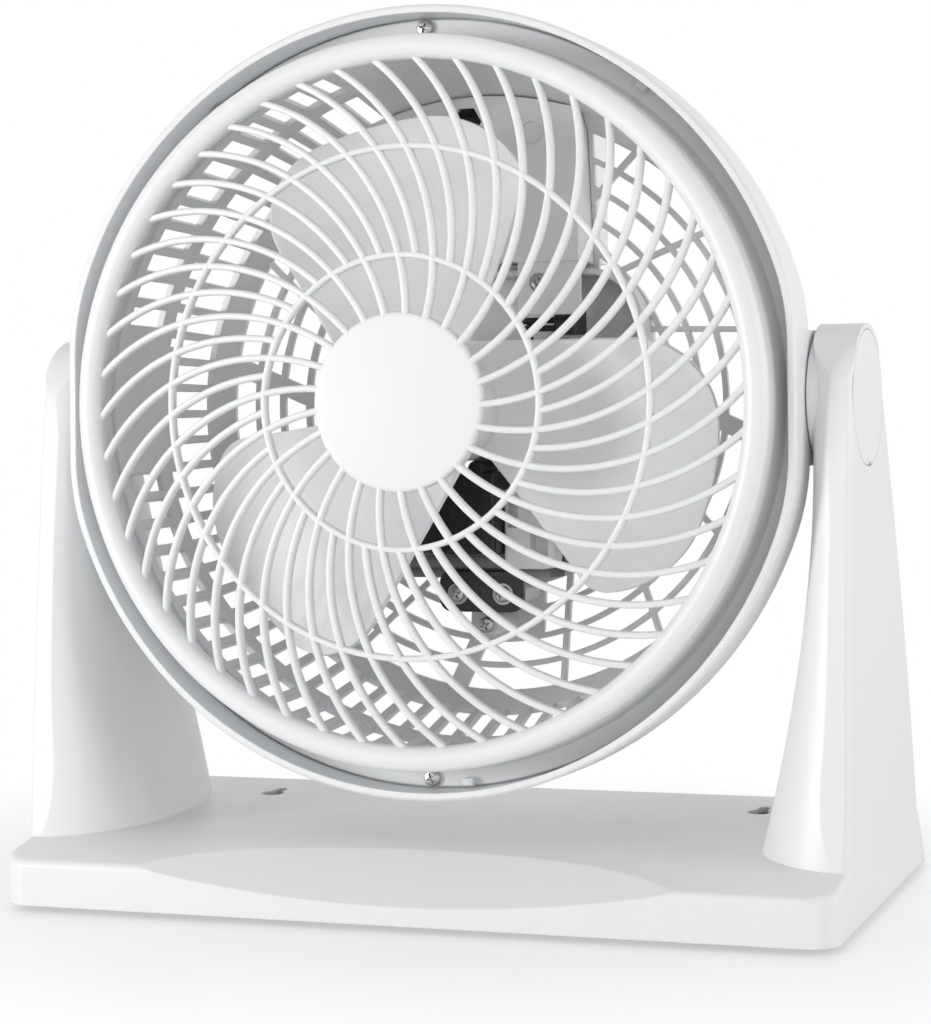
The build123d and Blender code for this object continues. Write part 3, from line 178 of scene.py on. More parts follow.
# ---------------------------------------------------------------- node helpers
def node(tree, kind, x=0, y=0, **values):
    """A node of that kind, with its settings or plain inputs filled in."""
    made = tree.nodes.new(kind)
    made.location = (x, y)
    for key, value in values.items():
        if hasattr(made, key):
            setattr(made, key, value)
        else:
            made.inputs[key.replace("_", " ")].default_value = value
    return made


def feed(tree, target, **sources):
    """Links each named input of a node to a socket, or fills in a plain value."""
    for key, source in sources.items():
        socket = target.inputs[key.replace("_", " ")]
        if isinstance(source, bpy.types.NodeSocket):
            tree.links.new(source, socket)
        else:
            socket.default_value = source
    return target.outputs[0]


def maths(tree, operation, *terms):
    """A maths node on sockets and numbers."""
    made = tree.nodes.new("ShaderNodeMath")
    made.operation = operation
    for socket, term in zip(made.inputs, terms):
        if isinstance(term, bpy.types.NodeSocket):
            tree.links.new(term, socket)
        else:
            socket.default_value = term
    return made.outputs[0]


# ---------------------------------------------------------------- finishes
CLOUD_SCALE = 7.0
WEAR_SCALE = 60.0
SPECK_SCALE = 900.0
ONE_BAND_A_METRE = pi / 10
MIX_LOW, MIX_HIGH, MIX_RESULT = 6, 7, 2


def blank_material(name):
    """An empty node material."""
    material = bpy.data.materials.new(name)
    material.use_nodes = True
    material.node_tree.nodes.clear()
    return material


def finish_of(tree, base, rough, height, metal=0.0, depth=0.00002, edge=0.0, coat=0.0):
    """The shader's end of a finish: colour, roughness and relief sockets into one surface."""
    shader = node(tree, "ShaderNodeBsdfPrincipled", 300, 100, Metallic=metal)
    shader.inputs["Coat Weight"].default_value = coat
    shader.inputs["Coat Roughness"].default_value = 0.25
    bump = node(tree, "ShaderNodeBump", 60, -200, Strength=0.4, Distance=depth)
    tree.links.new(height, bump.inputs["Height"])
    if edge:
        soft = node(tree, "ShaderNodeBevel", -160, -320, samples=6, Radius=edge)
        tree.links.new(soft.outputs["Normal"], bump.inputs["Normal"])
    out = node(tree, "ShaderNodeOutputMaterial", 560, 100)
    tree.links.new(base, shader.inputs["Base Color"])
    tree.links.new(rough, shader.inputs["Roughness"])
    tree.links.new(bump.outputs["Normal"], shader.inputs["Normal"])
    tree.links.new(shader.outputs["BSDF"], out.inputs["Surface"])


def noise(tree, place, scale, detail=2.0, y=0):
    """Noise at a place, as a share from 0 to 1."""
    made = node(tree, "ShaderNodeTexNoise", -760, y, Scale=scale, Detail=detail)
    tree.links.new(place, made.inputs["Vector"])
    return made.outputs["Fac"]


def between(tree, share, low, high, y=0):
    """A colour between two, by a share."""
    tint = node(tree, "ShaderNodeMix", -480, y, data_type="RGBA")
    tint.inputs[MIX_LOW].default_value = (*low, 1)
    tint.inputs[MIX_HIGH].default_value = (*high, 1)
    tree.links.new(share, tint.inputs[0])
    return tint.outputs[MIX_RESULT]


def level(tree, share, low, high, y=0):
    """A number between two, by a share."""
    drift = node(tree, "ShaderNodeMapRange", -480, y)
    drift.inputs["To Min"].default_value = low
    drift.inputs["To Max"].default_value = high
    tree.links.new(share, drift.inputs["Value"])
    return drift.outputs["Result"]


def moulded(
    name, tone, rough, shade=0.96, grain=0.0004, depth=0.00002, edge=0.0006, metal=0.0, coat=0.0
):
    """A moulded surface: two near tones, fine grain, faint polish marks and softened edges."""
    material = blank_material(name)
    tree = material.node_tree
    place = node(tree, "ShaderNodeTexCoord", -1000, 0).outputs["Object"]
    cloud = noise(tree, place, CLOUD_SCALE, 3.0, 200)
    fine = noise(tree, place, 1.0 / grain, 2.0, -200)
    worn = noise(tree, place, WEAR_SCALE, 4.0, -20)
    low = tuple(shade * part for part in tone)
    base = between(tree, cloud, tone, low, 200)
    finish_of(tree, base, level(tree, worn, rough - 0.05, rough + 0.07), fine, metal, depth, edge, coat)
    return material


def banded(name, tone, gap, pitch, rough, axis="Y", lean=0.0, metal=0.0, depth=0.0002, edge=0.0):
    """Bands across one axis, which may lean: stacked sheets, tape turns or turned rings."""
    material = blank_material(name)
    tree = material.node_tree
    place = node(tree, "ShaderNodeTexCoord", -1400, 0).outputs["Object"]
    turn = node(tree, "ShaderNodeMapping", -1200, 0)
    turn.inputs["Rotation"].default_value = (lean, 0, 0)
    tree.links.new(place, turn.inputs["Vector"])
    bands = node(tree, "ShaderNodeTexWave", -980, 0, bands_direction=axis, wave_profile="SAW")
    bands.inputs["Scale"].default_value = ONE_BAND_A_METRE / pitch
    bands.inputs["Distortion"].default_value = 0.35
    bands.inputs["Detail Scale"].default_value = 30.0
    tree.links.new(turn.outputs["Vector"], bands.inputs["Vector"])
    speck = noise(tree, place, SPECK_SCALE, 3.0, -300)
    share = maths(tree, "POWER", bands.outputs["Fac"], 3.0)
    base = between(tree, share, tone, gap, 200)
    mixed = maths(tree, "ADD", bands.outputs["Fac"], maths(tree, "MULTIPLY", speck, 0.25))
    finish_of(tree, base, level(tree, speck, rough - 0.08, rough + 0.1), mixed, metal, depth, edge)
    return material


def finishes(colours):
    """One finish for each material slot of the record."""
    body, grille = tuple(colours.body), tuple(colours.grille)
    blades, inner = tuple(colours.blades), tuple(colours.inner)
    rubber, enamel, tape = (0.020, 0.020, 0.021), (0.015, 0.015, 0.016), (0.014, 0.014, 0.015)
    return {
        "white_plastic": moulded("white_plastic", body, 0.40, edge=0.0009, coat=0.08),
        "grille_plastic": moulded("grille_plastic", grille, 0.38, grain=0.0006, coat=0.05),
        # Painted light: the blade and inner finishes take the brightened colours, lighter than the body's
        # white plastic, to lift the shade those parts sit in.
        "blade_plastic": moulded("blade_plastic", blades, 0.38, grain=0.0006, edge=0.0004, coat=0.1),
        "inner_plastic": moulded("inner_plastic", inner, 0.45, shade=0.93),
        "knob_plastic": moulded("knob_plastic", (0.80, 0.80, 0.79), 0.28, coat=0.2),
        "black_rubber": moulded("black_rubber", rubber, 0.70, shade=1.5, grain=0.0007),
        "zinc_screws": moulded(
            "zinc_screws", (0.58, 0.58, 0.56), 0.30, shade=0.8, edge=0.0002, metal=1.0
        ),
        "spring_steel": moulded(
            "spring_steel", (0.28, 0.28, 0.29), 0.36, shade=0.7, edge=0.0002, metal=1.0
        ),
        "shaft_steel": banded(
            "shaft_steel", (0.60, 0.60, 0.61), (0.50, 0.50, 0.51), 0.0004, 0.24, "Y", LEAN, 1.0, 0.00001
        ),
        "stack_steel": banded(
            "stack_steel", (0.26, 0.26, 0.27), (0.10, 0.10, 0.11), 0.0005, 0.45, "Y", LEAN, 0.8, 0.0001
        ),
        "bracket_alloy": moulded(
            "bracket_alloy", (0.50, 0.51, 0.52), 0.48, shade=0.8, grain=0.0009, depth=0.00008, metal=0.9
        ),
        "bronze_bush": moulded("bronze_bush", (0.50, 0.33, 0.15), 0.42, shade=0.8, metal=1.0),
        "coil_tape": banded(
            "coil_tape", tape, (0.006, 0.006, 0.006), 0.0045, 0.34, "X", depth=0.0005, edge=0.0006
        ),
        "black_plastic": moulded("black_plastic", (0.016, 0.016, 0.017), 0.42, shade=1.4),
        "black_clamp": moulded("black_clamp", enamel, 0.34, shade=1.5, coat=0.3),
        "rotor_alloy": banded(
            "rotor_alloy", (0.44, 0.44, 0.45), (0.24, 0.24, 0.25), 0.0005, 0.40, "Y", LEAN, 0.9, 0.0001
        ),
    }


class FAN_OT_finishes(bpy.types.Operator):
    """Give every part of the frame its finish"""

    bl_idname = "circulator.finishes"
    bl_label = "Finishes"

    def execute(self, context):
        for plain in list(bpy.data.materials):
            bpy.data.materials.remove(plain)
        made = finishes(context.scene.circulator_colours)
        for entry in frame["record"]["subparts"]:
            part = frame["nodes"][entry["node"]]
            part.data.materials.clear()
            part.data.materials.append(made[entry["material_slot"]])
        return {"FINISHED"}


def finish(slot):
    """The finish of a slot, which the first operator makes."""
    if slot not in bpy.data.materials:
        raise RuntimeError("run the finishes first")
    return bpy.data.materials[slot]


# ---------------------------------------------------------------- mesh helpers
def arc_through(a, b, c, count):
    """Points of the circular arc from a through b to c, both ends included."""
    (ax, ay), (bx, by), (cx, cy) = a, b, c
    d = 2 * (ax * (by - cy) + bx * (cy - ay) + cx * (ay - by))
    sa, sb, sc = ax * ax + ay * ay, bx * bx + by * by, cx * cx + cy * cy
    mx = (sa * (by - cy) + sb * (cy - ay) + sc * (ay - by)) / d
    my = (sa * (cx - bx) + sb * (ax - cx) + sc * (bx - ax)) / d
    angles = [np.arctan2(y - my, x - mx) for x, y in (a, b, c)]
    full = (angles[2] - angles[0]) % (2 * pi)
    if (angles[1] - angles[0]) % (2 * pi) > full:
        full -= 2 * pi
    radius = hypot(ax - mx, ay - my)
    turns = angles[0] + full * np.linspace(0, 1, count)
    return [(mx + radius * cos(t), my + radius * sin(t)) for t in turns]


def closed_up(bm, name, seam=1e-4):
    """A mesh from a bmesh, with doubles merged and faces pointing outwards."""
    bmesh.ops.remove_doubles(bm, verts=bm.verts, dist=seam)
    bmesh.ops.recalc_face_normals(bm, faces=bm.faces)
    mesh = bpy.data.meshes.new(name)
    bm.to_mesh(mesh)
    bm.free()
    return mesh


def ring_mesh(name, section, steps=144, loop=False, lift=None, shift=None):
    """Rings about the axis from (radius, height) points; a radius of 0 is a pole."""
    bm = bmesh.new()
    rings = []
    for r, z in section:
        count = 1 if r < 1e-6 else steps
        ring = []
        for k in range(count):
            x, y = r * sin(2 * pi * k / count), r * cos(2 * pi * k / count)
            high = z + lift(x, y, z) if lift else z
            x, y = shift(x, y, z) if shift else (x, y)
            ring.append(bm.verts.new((x, y, high)))
        rings.append(ring)
    pairs = list(zip(rings, rings[1:]))
    if loop:
        pairs.append((rings[-1], rings[0]))
    for low, high in pairs:
        for k in range(steps):
            near, far = k, (k + 1) % steps
            if len(low) == 1:
                bm.faces.new((low[0], high[near], high[far]))
            elif len(high) == 1:
                bm.faces.new((low[near], high[0], low[far]))
            else:
                bm.faces.new((low[near], high[near], high[far], low[far]))
    return closed_up(bm, name)


def block_mesh(name, x0, x1, y0, y1, z0, z1):
    """A plain block between two corners, to be finished by a bevel."""
    bm = bmesh.new()
    bmesh.ops.create_cube(bm, size=1.0)
    middle = Vector((x0 + x1, y0 + y1, z0 + z1)) / 2
    for vert in bm.verts:
        x, y, z = vert.co
        vert.co = middle + Vector((x * (x1 - x0), y * (y1 - y0), z * (z1 - z0)))
    return closed_up(bm, name)


def shown(mesh, name, material=None):
    """An object of a mesh, in the scene."""
    piece = bpy.data.objects.new(name, mesh)
    bpy.context.scene.collection.objects.link(piece)
    if material:
        mesh.materials.clear()
        mesh.materials.append(material)
    return piece


def settled(piece):
    """Turns an object and its modifiers into one plain mesh."""
    graph = bpy.context.evaluated_depsgraph_get()
    graph.update()
    mesh = bpy.data.meshes.new_from_object(piece.evaluated_get(graph))
    piece.modifiers.clear()
    mesh.name = piece.name
    piece.data = mesh
    return piece


def bevelled(mesh, name, width, segments=3, angle=35.0):
    """A mesh with its edges rounded."""
    piece = shown(mesh, name)
    modifier = piece.modifiers.new("edges", "BEVEL")
    modifier.width = width
    modifier.segments = segments
    modifier.angle_limit = radians(angle)
    mesh = settled(piece).data
    bpy.data.objects.remove(piece)
    return mesh


def joined(name, meshes):
    """Several meshes as one."""
    bm = bmesh.new()
    for mesh in meshes:
        bm.from_mesh(mesh)
    whole = bpy.data.meshes.new(name)
    bm.to_mesh(whole)
    bm.free()
    return whole


def fitted(mesh, name, body, slot, replaced=(), place=HEAD, sharp=38.0):
    """Puts a finished mesh in its place on a body, with its finish."""
    mesh.transform(place)
    if place.determinant() < 0:
        mesh.flip_normals()
    mesh.shade_smooth()
    mesh.set_sharp_from_angle(angle=radians(sharp))
    piece = shown(mesh, name, finish(slot))
    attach(piece, body)
    if replaced:
        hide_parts(*replaced)
    return piece


# ---------------------------------------------------------------- geometry node trees
FLOAT, WHOLE, STUFF = "NodeSocketFloat", "NodeSocketInt", "NodeSocketMaterial"


def new_tree(name, **inputs):
    """A tree with a geometry input, named inputs and a geometry output."""
    tree = bpy.data.node_groups.new(name, "GeometryNodeTree")
    tree.interface.new_socket("Geometry", in_out="INPUT", socket_type="NodeSocketGeometry")
    for label, kind in inputs.items():
        tree.interface.new_socket(label.replace("_", " "), in_out="INPUT", socket_type=kind)
    tree.interface.new_socket("Geometry", in_out="OUTPUT", socket_type="NodeSocketGeometry")
    start = node(tree, "NodeGroupInput", -1600, 0)
    return tree, start.outputs


def end_tree(tree, geometry, material):
    """Realizes the instances, sets the material and ends the tree."""
    real = node(tree, "GeometryNodeRealizeInstances", 900, 0)
    coat = node(tree, "GeometryNodeSetMaterial", 1100, 0)
    out = node(tree, "NodeGroupOutput", 1300, 0)
    tree.links.new(geometry, real.inputs[0])
    feed(tree, coat, Geometry=real.outputs[0], Material=material)
    tree.links.new(coat.outputs[0], out.inputs[0])


def run_tree(tree, name, mesh=None, **values):
    """Evaluates a tree on a mesh with its inputs set, and keeps the result as a plain mesh."""
    carrier = shown(mesh or bpy.data.meshes.new(name), name)
    modifier = carrier.modifiers.new(name, "NODES")
    modifier.node_group = tree
    for item in tree.interface.items_tree:
        if item.in_out == "INPUT" and item.name.replace(" ", "_") in values:
            modifier[item.identifier] = values[item.name.replace(" ", "_")]
    result = settled(carrier).data
    bpy.data.objects.remove(carrier)
    return result


def around_axis(tree, thing, count, first):
    """Copies of a geometry, evenly turned clockwise about the axis from a first angle."""
    points = feed(tree, node(tree, "GeometryNodePoints", 200, 200), Count=count)
    index = node(tree, "GeometryNodeInputIndex", 0, -200).outputs[0]
    pitch = maths(tree, "DIVIDE", 2 * pi, count)
    turn = maths(tree, "ADD", maths(tree, "MULTIPLY", index, pitch), first)
    clockwise = maths(tree, "MULTIPLY", turn, -1.0)
    angles = feed(tree, node(tree, "ShaderNodeCombineXYZ", 400, -200), Z=clockwise)
    copies = node(tree, "GeometryNodeInstanceOnPoints", 600, 0)
    return feed(tree, copies, Points=points, Instance=thing, Rotation=angles)


BAR_CORNER_SHARE = 0.44
RIB_STEPS = 40
RING_STEPS = 160
RIB_CENTRE_SHARE = 0.6822
RIB_RADIUS_SHARE = 0.6597
RIB_LEAD_CLOCK = -73.9
RIB_SINK = 1.2
RIM_SINK = 1.0


def rounded_bar(tree, width, depth):
    """The profile of a rib or ring: a rectangle with well rounded corners."""
    square = node(tree, "GeometryNodeCurvePrimitiveQuadrilateral", -700, -500)
    outline = feed(tree, square, Width=width, Height=depth)
    corner = node(tree, "GeometryNodeFilletCurve", -500, -500, mode="POLY")
    rounding = maths(tree, "MULTIPLY", width, BAR_CORNER_SHARE)
    return feed(tree, corner, Curve=outline, Count=4, Radius=rounding)


def dome_height(tree, radius, top, rim, depth):
    """The height of a bar's middle on the dome at a radius."""
    share = maths(tree, "DIVIDE", radius, rim)
    cone = maths(tree, "MULTIPLY", share, DOME_CONE)
    bowl = maths(tree, "MULTIPLY", maths(tree, "POWER", share, 3.0), 1 - DOME_CONE)
    drop = maths(tree, "MULTIPLY", maths(tree, "ADD", cone, bowl), DOME_DROP)
    skin = maths(tree, "SUBTRACT", top, drop)
    return maths(tree, "SUBTRACT", skin, maths(tree, "MULTIPLY", depth, 0.5))


def swept_rib(tree, given, start):
    """One rib: a circular arc in plan that climbs the dome, from a radius to the rim."""
    line = node(tree, "GeometryNodeCurvePrimitiveLine", -1300, 0)
    line.inputs["End"].default_value = (1, 0, 0)
    cut = node(tree, "GeometryNodeResampleCurve", -1100, 0)
    fine = feed(tree, cut, Curve=line.outputs[0], Count=RIB_STEPS)
    along = node(tree, "GeometryNodeSplineParameter", -1300, 300).outputs["Factor"]
    span = maths(tree, "SUBTRACT", given["Rim radius"], start)
    radius = maths(tree, "ADD", start, maths(tree, "MULTIPLY", along, span))
    offset = maths(tree, "MULTIPLY", given["Rim radius"], RIB_CENTRE_SHARE)
    reach = maths(tree, "MULTIPLY", given["Rim radius"], RIB_RADIUS_SHARE)
    squares = maths(tree, "ADD", maths(tree, "POWER", radius, 2.0), maths(tree, "POWER", offset, 2.0))
    squares = maths(tree, "SUBTRACT", squares, maths(tree, "POWER", reach, 2.0))
    bottom = maths(tree, "MULTIPLY", maths(tree, "MULTIPLY", radius, offset), 2.0)
    swing = maths(tree, "ARCCOSINE", maths(tree, "DIVIDE", squares, bottom))
    angle = maths(tree, "ADD", swing, radians(RIB_LEAD_CLOCK))
    spot = node(tree, "ShaderNodeCombineXYZ", -600, 0)
    feed(
        tree,
        spot,
        X=maths(tree, "MULTIPLY", radius, maths(tree, "SINE", angle)),
        Y=maths(tree, "MULTIPLY", radius, maths(tree, "COSINE", angle)),
        Z=dome_height(tree, radius, given["Top"], given["Rim radius"], given["Rib depth"]),
    )
    moved = node(tree, "GeometryNodeSetPosition", -400, 0)
    feed(tree, moved, Geometry=fine, Position=spot.outputs[0])
    upright = node(tree, "GeometryNodeSetCurveNormal", -200, 0, mode="Z_UP")
    feed(tree, upright, Curve=moved.outputs[0])
    bar = node(tree, "GeometryNodeCurveToMesh", 0, 0)
    profile = rounded_bar(tree, given["Rib width"], given["Rib depth"])
    tree.links.new(upright.outputs[0], bar.inputs["Curve"])
    tree.links.new(profile, bar.inputs["Profile Curve"])
    bar.inputs["Fill Caps"].default_value = True
    return bar.outputs[0]


def tie_ring(tree, given, radius):
    """One round bar on the dome."""
    circle = node(tree, "GeometryNodeCurvePrimitiveCircle", -700, 700)
    outline = feed(tree, circle, Resolution=RING_STEPS, Radius=radius)
    lift = feed(
        tree,
        node(tree, "ShaderNodeCombineXYZ", -700, 500),
        Z=dome_height(tree, radius, given["Top"], given["Rim radius"], given["Rib depth"]),
    )
    moved = node(tree, "GeometryNodeSetPosition", -500, 700)
    feed(tree, moved, Geometry=outline, Offset=lift)
    upright = node(tree, "GeometryNodeSetCurveNormal", -300, 700, mode="Z_UP")
    feed(tree, upright, Curve=moved.outputs[0])
    bar = node(tree, "GeometryNodeCurveToMesh", -100, 700)
    profile = rounded_bar(tree, given["Ring width"], given["Rib depth"])
    tree.links.new(upright.outputs[0], bar.inputs["Curve"])
    tree.links.new(profile, bar.inputs["Profile Curve"])
    return bar.outputs[0]


def rib_tree():
    """All the grille's swept ribs and its two rings."""
    tree, given = new_tree(
        "swept_ribs",
        Hub_radius=FLOAT,
        Inner_ring=FLOAT,
        Outer_ring=FLOAT,
        Rim_radius=FLOAT,
        Top=FLOAT,
        Rib_width=FLOAT,
        Rib_depth=FLOAT,
        Ring_width=FLOAT,
        Ribs=WHOLE,
        First_rib=FLOAT,
        Material=STUFF,
    )
    half_pitch = maths(tree, "DIVIDE", pi, given["Ribs"])
    first = maths(tree, "ADD", given["First rib"], half_pitch)
    inside = maths(tree, "SUBTRACT", given["Hub radius"], RIB_SINK)
    long_ribs = around_axis(tree, swept_rib(tree, given, inside), given["Ribs"], given["First rib"])
    short_ribs = around_axis(tree, swept_rib(tree, given, given["Inner ring"]), given["Ribs"], first)
    rings = [tie_ring(tree, given, given[label]) for label in ("Inner ring", "Outer ring")]
    together = node(tree, "GeometryNodeJoinGeometry", 800, 0)
    for part in (long_ribs, short_ribs, *rings):
        tree.links.new(part, together.inputs[0])
    end_tree(tree, together.outputs[0], given["Material"])
    return tree


def turned_copies_tree():
    """The incoming mesh, repeated evenly about the axis."""
    tree, given = new_tree("turned_copies", Count=WHOLE, First=FLOAT, Material=STUFF)
    copies = around_axis(tree, given["Geometry"], given["Count"], given["First"])
    end_tree(tree, copies, given["Material"])
    return tree


def stack_tree():
    """The incoming sheet, repeated in a straight stack."""
    tree, given = new_tree("stacked_sheets", Count=WHOLE, Pitch=FLOAT, Material=STUFF)
    points = feed(tree, node(tree, "GeometryNodePoints", 0, 200), Count=given["Count"])
    index = node(tree, "GeometryNodeInputIndex", 0, -200).outputs[0]
    height = maths(tree, "MULTIPLY", index, given["Pitch"])
    rise = feed(tree, node(tree, "ShaderNodeCombineXYZ", 200, -200), Z=height)
    spread = node(tree, "GeometryNodeSetPosition", 300, 200)
    feed(tree, spread, Geometry=points, Position=rise)
    copies = node(tree, "GeometryNodeInstanceOnPoints", 600, 0)
    feed(tree, copies, Points=spread.outputs[0], Instance=given["Geometry"])
    end_tree(tree, copies.outputs[0], given["Material"])
    return tree


def placed_copies_tree():
    """A fastener on each incoming point, turned by the point's own angles."""
    tree, given = new_tree("placed_copies", Fastener="NodeSocketObject", Material=STUFF)
    part = node(tree, "GeometryNodeObjectInfo", 0, -200)
    feed(tree, part, Object=given["Fastener"])
    turn = node(tree, "GeometryNodeInputNamedAttribute", 0, -400, data_type="FLOAT_VECTOR", Name="turn")
    copies = node(tree, "GeometryNodeInstanceOnPoints", 600, 0)
    fastener, angles = part.outputs["Geometry"], turn.outputs["Attribute"]
    feed(tree, copies, Points=given["Geometry"], Instance=fastener, Rotation=angles)
    end_tree(tree, copies.outputs[0], given["Material"])
    return tree


# ---------------------------------------------------------------- front grille
DISC_RINGS = 14
DISC_EDGE_R = 1.6
DISC_DEPTH = 4.0
DISC_WALL = 2.4
FLAT_BLEND = 1.2
FLAT_REACH = 6.0
FLAT_BAND = 3.0
FLAT_EASE = 0.05
RIM_FOOT = 39.4
ROLL_INNER = 42.4
ROLL_OUTER = 41.6
ROLL_WALL = 1.0
SKIRT_WAIST = 34.0
SKIRT_DRAFT = 0.9
LATCH_CLOCKS = (36.5, -37.0, 174.0)
LATCH_HALF_WIDTH = 2.2
LATCH_SIZE = 3.0


def dome(radius):
    """The height of the dome's skin at a radius."""
    share = radius / BEAD_INNER_R
    return DOME_TOP - DOME_DROP * (DOME_CONE * share + (1 - DOME_CONE) * share**3)


def hub_disc(radius):
    """The blank disc in the middle, softly crowned, with a rounded rim."""
    rim = radius - DISC_EDGE_R
    centre, foot = dome(rim) - DISC_EDGE_R, dome(radius) - DISC_DEPTH
    skin = [(rim * k / DISC_RINGS, dome(rim * k / DISC_RINGS)) for k in range(DISC_RINGS + 1)]
    bends = np.linspace(0.2, pi / 2, 7)
    turn = [(rim + DISC_EDGE_R * sin(a), centre + DISC_EDGE_R * cos(a)) for a in bends]
    inside = radius - DISC_WALL
    under = [(radius, foot), (inside, foot), (inside - 0.4, dome(rim) - DISC_WALL)]
    return ring_mesh("hub_disc", [*skin, *turn, *under, (0, DOME_TOP - DISC_WALL)])


def flange_edge(x, y, z):
    """Cuts the flange flat at both sides, with a blend into its round edge."""
    over = abs(x) - FLANGE_HALF_WIDTH
    above = z > FLANGE_SEAT + FLANGE_THICK + 0.1
    if above or over < -FLAT_REACH or hypot(x, y) < FLANGE_R - FLAT_BAND:
        return x, y
    pull = 0.5 * (over + hypot(over, FLAT_BLEND)) - FLAT_EASE
    return (abs(x) - pull) * (1 if x > 0 else -1), y


def rim_section():
    """The rolled bead, its skirt and the flange, as one closed loop."""
    wall, top = FLANGE_THICK, FLANGE_SEAT + FLANGE_THICK
    inner, outer = BEAD_INNER_R + wall, BEAD_OUTER_R - wall
    crest, under_crest = (BEAD_CREST_R, BEAD_CREST), (BEAD_CREST_R, BEAD_CREST - wall)
    roll = arc_through((BEAD_INNER_R, ROLL_INNER), crest, (BEAD_OUTER_R - SKIRT_DRAFT, ROLL_OUTER), 22)
    skirt = [(BEAD_OUTER_R - 0.5, SKIRT_WAIST), (BEAD_OUTER_R - 0.1, top + 1.4)]
    skirt += [(BEAD_OUTER_R + 0.4, top + 0.4), (BEAD_OUTER_R + 1.4, top)]
    edge = [(FLANGE_R - 0.5, top), (FLANGE_R, top - 0.5), (FLANGE_R, FLANGE_SEAT)]
    inside = [(outer, FLANGE_SEAT), (outer - 0.5, SKIRT_WAIST)]
    spring, end = (outer - SKIRT_DRAFT, ROLL_OUTER - ROLL_WALL), (inner, ROLL_INNER - ROLL_WALL)
    hollow = arc_through(spring, under_crest, end, 12)
    return [(BEAD_INNER_R, RIM_FOOT), *roll, *skirt, *edge, *inside, *hollow, (inner, RIM_FOOT)]


def snap_tabs():
    """The small latches on the flange's edge."""
    top, edge = FLANGE_SEAT + FLANGE_THICK, FLANGE_R - 0.2
    tabs = []
    for clock in LATCH_CLOCKS:
        width = (-LATCH_HALF_WIDTH, LATCH_HALF_WIDTH)
        tab = block_mesh("tab", *width, edge - LATCH_SIZE, edge, top - 1, top + LATCH_SIZE)
        tab = bevelled(tab, "tab", 0.5)
        tab.transform(Matrix.Rotation(-radians(clock), 4, "Z"))
        tabs.append(tab)
    return tabs


class FAN_OT_front_grille(bpy.types.Operator):
    """Build the front grille: swept ribs and rings, hub disc, rolled rim and latches"""

    bl_idname = "circulator.front_grille"
    bl_label = "Front grille"

    def execute(self, context):
        sizes = context.scene.circulator_grille
        ribs = run_tree(
            rib_tree(),
            "ribs",
            Hub_radius=sizes.hub_radius / MM,
            Inner_ring=sizes.inner_ring / MM,
            Outer_ring=sizes.outer_ring / MM,
            Rim_radius=BEAD_INNER_R + RIM_SINK,
            Top=DOME_TOP,
            Rib_width=sizes.rib_width / MM,
            Rib_depth=sizes.rib_depth / MM,
            Ring_width=sizes.ring_width / MM,
            Ribs=sizes.ribs,
            First_rib=sizes.first_rib,
            Material=finish("grille_plastic"),
        )
        rim = ring_mesh("rim", rim_section(), 288, loop=True, shift=flange_edge)
        whole = joined("front_guard", [ribs, hub_disc(sizes.hub_radius / MM), rim, *snap_tabs()])
        fitted(whole, "front_guard", "head_body", "grille_plastic", ["front_grille"])
        return {"FINISHED"}


# ---------------------------------------------------------------- impeller
BLADE_FRONT = 25.0
BLADE_REAR = 4.0
BLADE_SPINE_CLOCK = 107.0
STRAIGHT_EDGE = 22.0
FRONT_CORNER_R = 28.0
TRAIL_CLOCK = 141.5
TIP_END_CLOCK = 118.0
FALL_CLOCK = 132.0
FALL_SHARE = 0.935
HEEL_SHARE = 0.83
REAR_SHARE = 0.78
BLADE_ROOT_R = 21.2
ROOT_HALF_CHORD = 22.0
CHORD_GROWTH = 0.31
DISH_REACH = 45.0
BLADE_EDGE_SHARE = 0.36
HUB_FRONT = BLADE_FRONT + 2.0
HUB_REAR = -6.0
HUB_WALL = 2.0
HUB_ROUND = 4.0
BOSS_R = 8.0
SHAFT_BORE_R = 4.05
BORE_END = HUB_FRONT - 4.0
WEBS = 6
WEB_HALF_THICK = 0.8
WEB_REAR = -2.0


def clock_point(radius, clock):
    """The point at a radius and a clock angle."""
    return np.array((radius * sin(radians(clock)), radius * cos(radians(clock))))


def resampled(points, count):
    """A polyline cut into evenly spaced points."""
    points = np.array(points, dtype=float)
    steps = np.hypot(*np.diff(points, axis=0).T)
    along = np.concatenate(([0], np.cumsum(steps)))
    wanted = np.linspace(0, along[-1], count)
    return np.stack([np.interp(wanted, along, points[:, k]) for k in (0, 1)], axis=1)


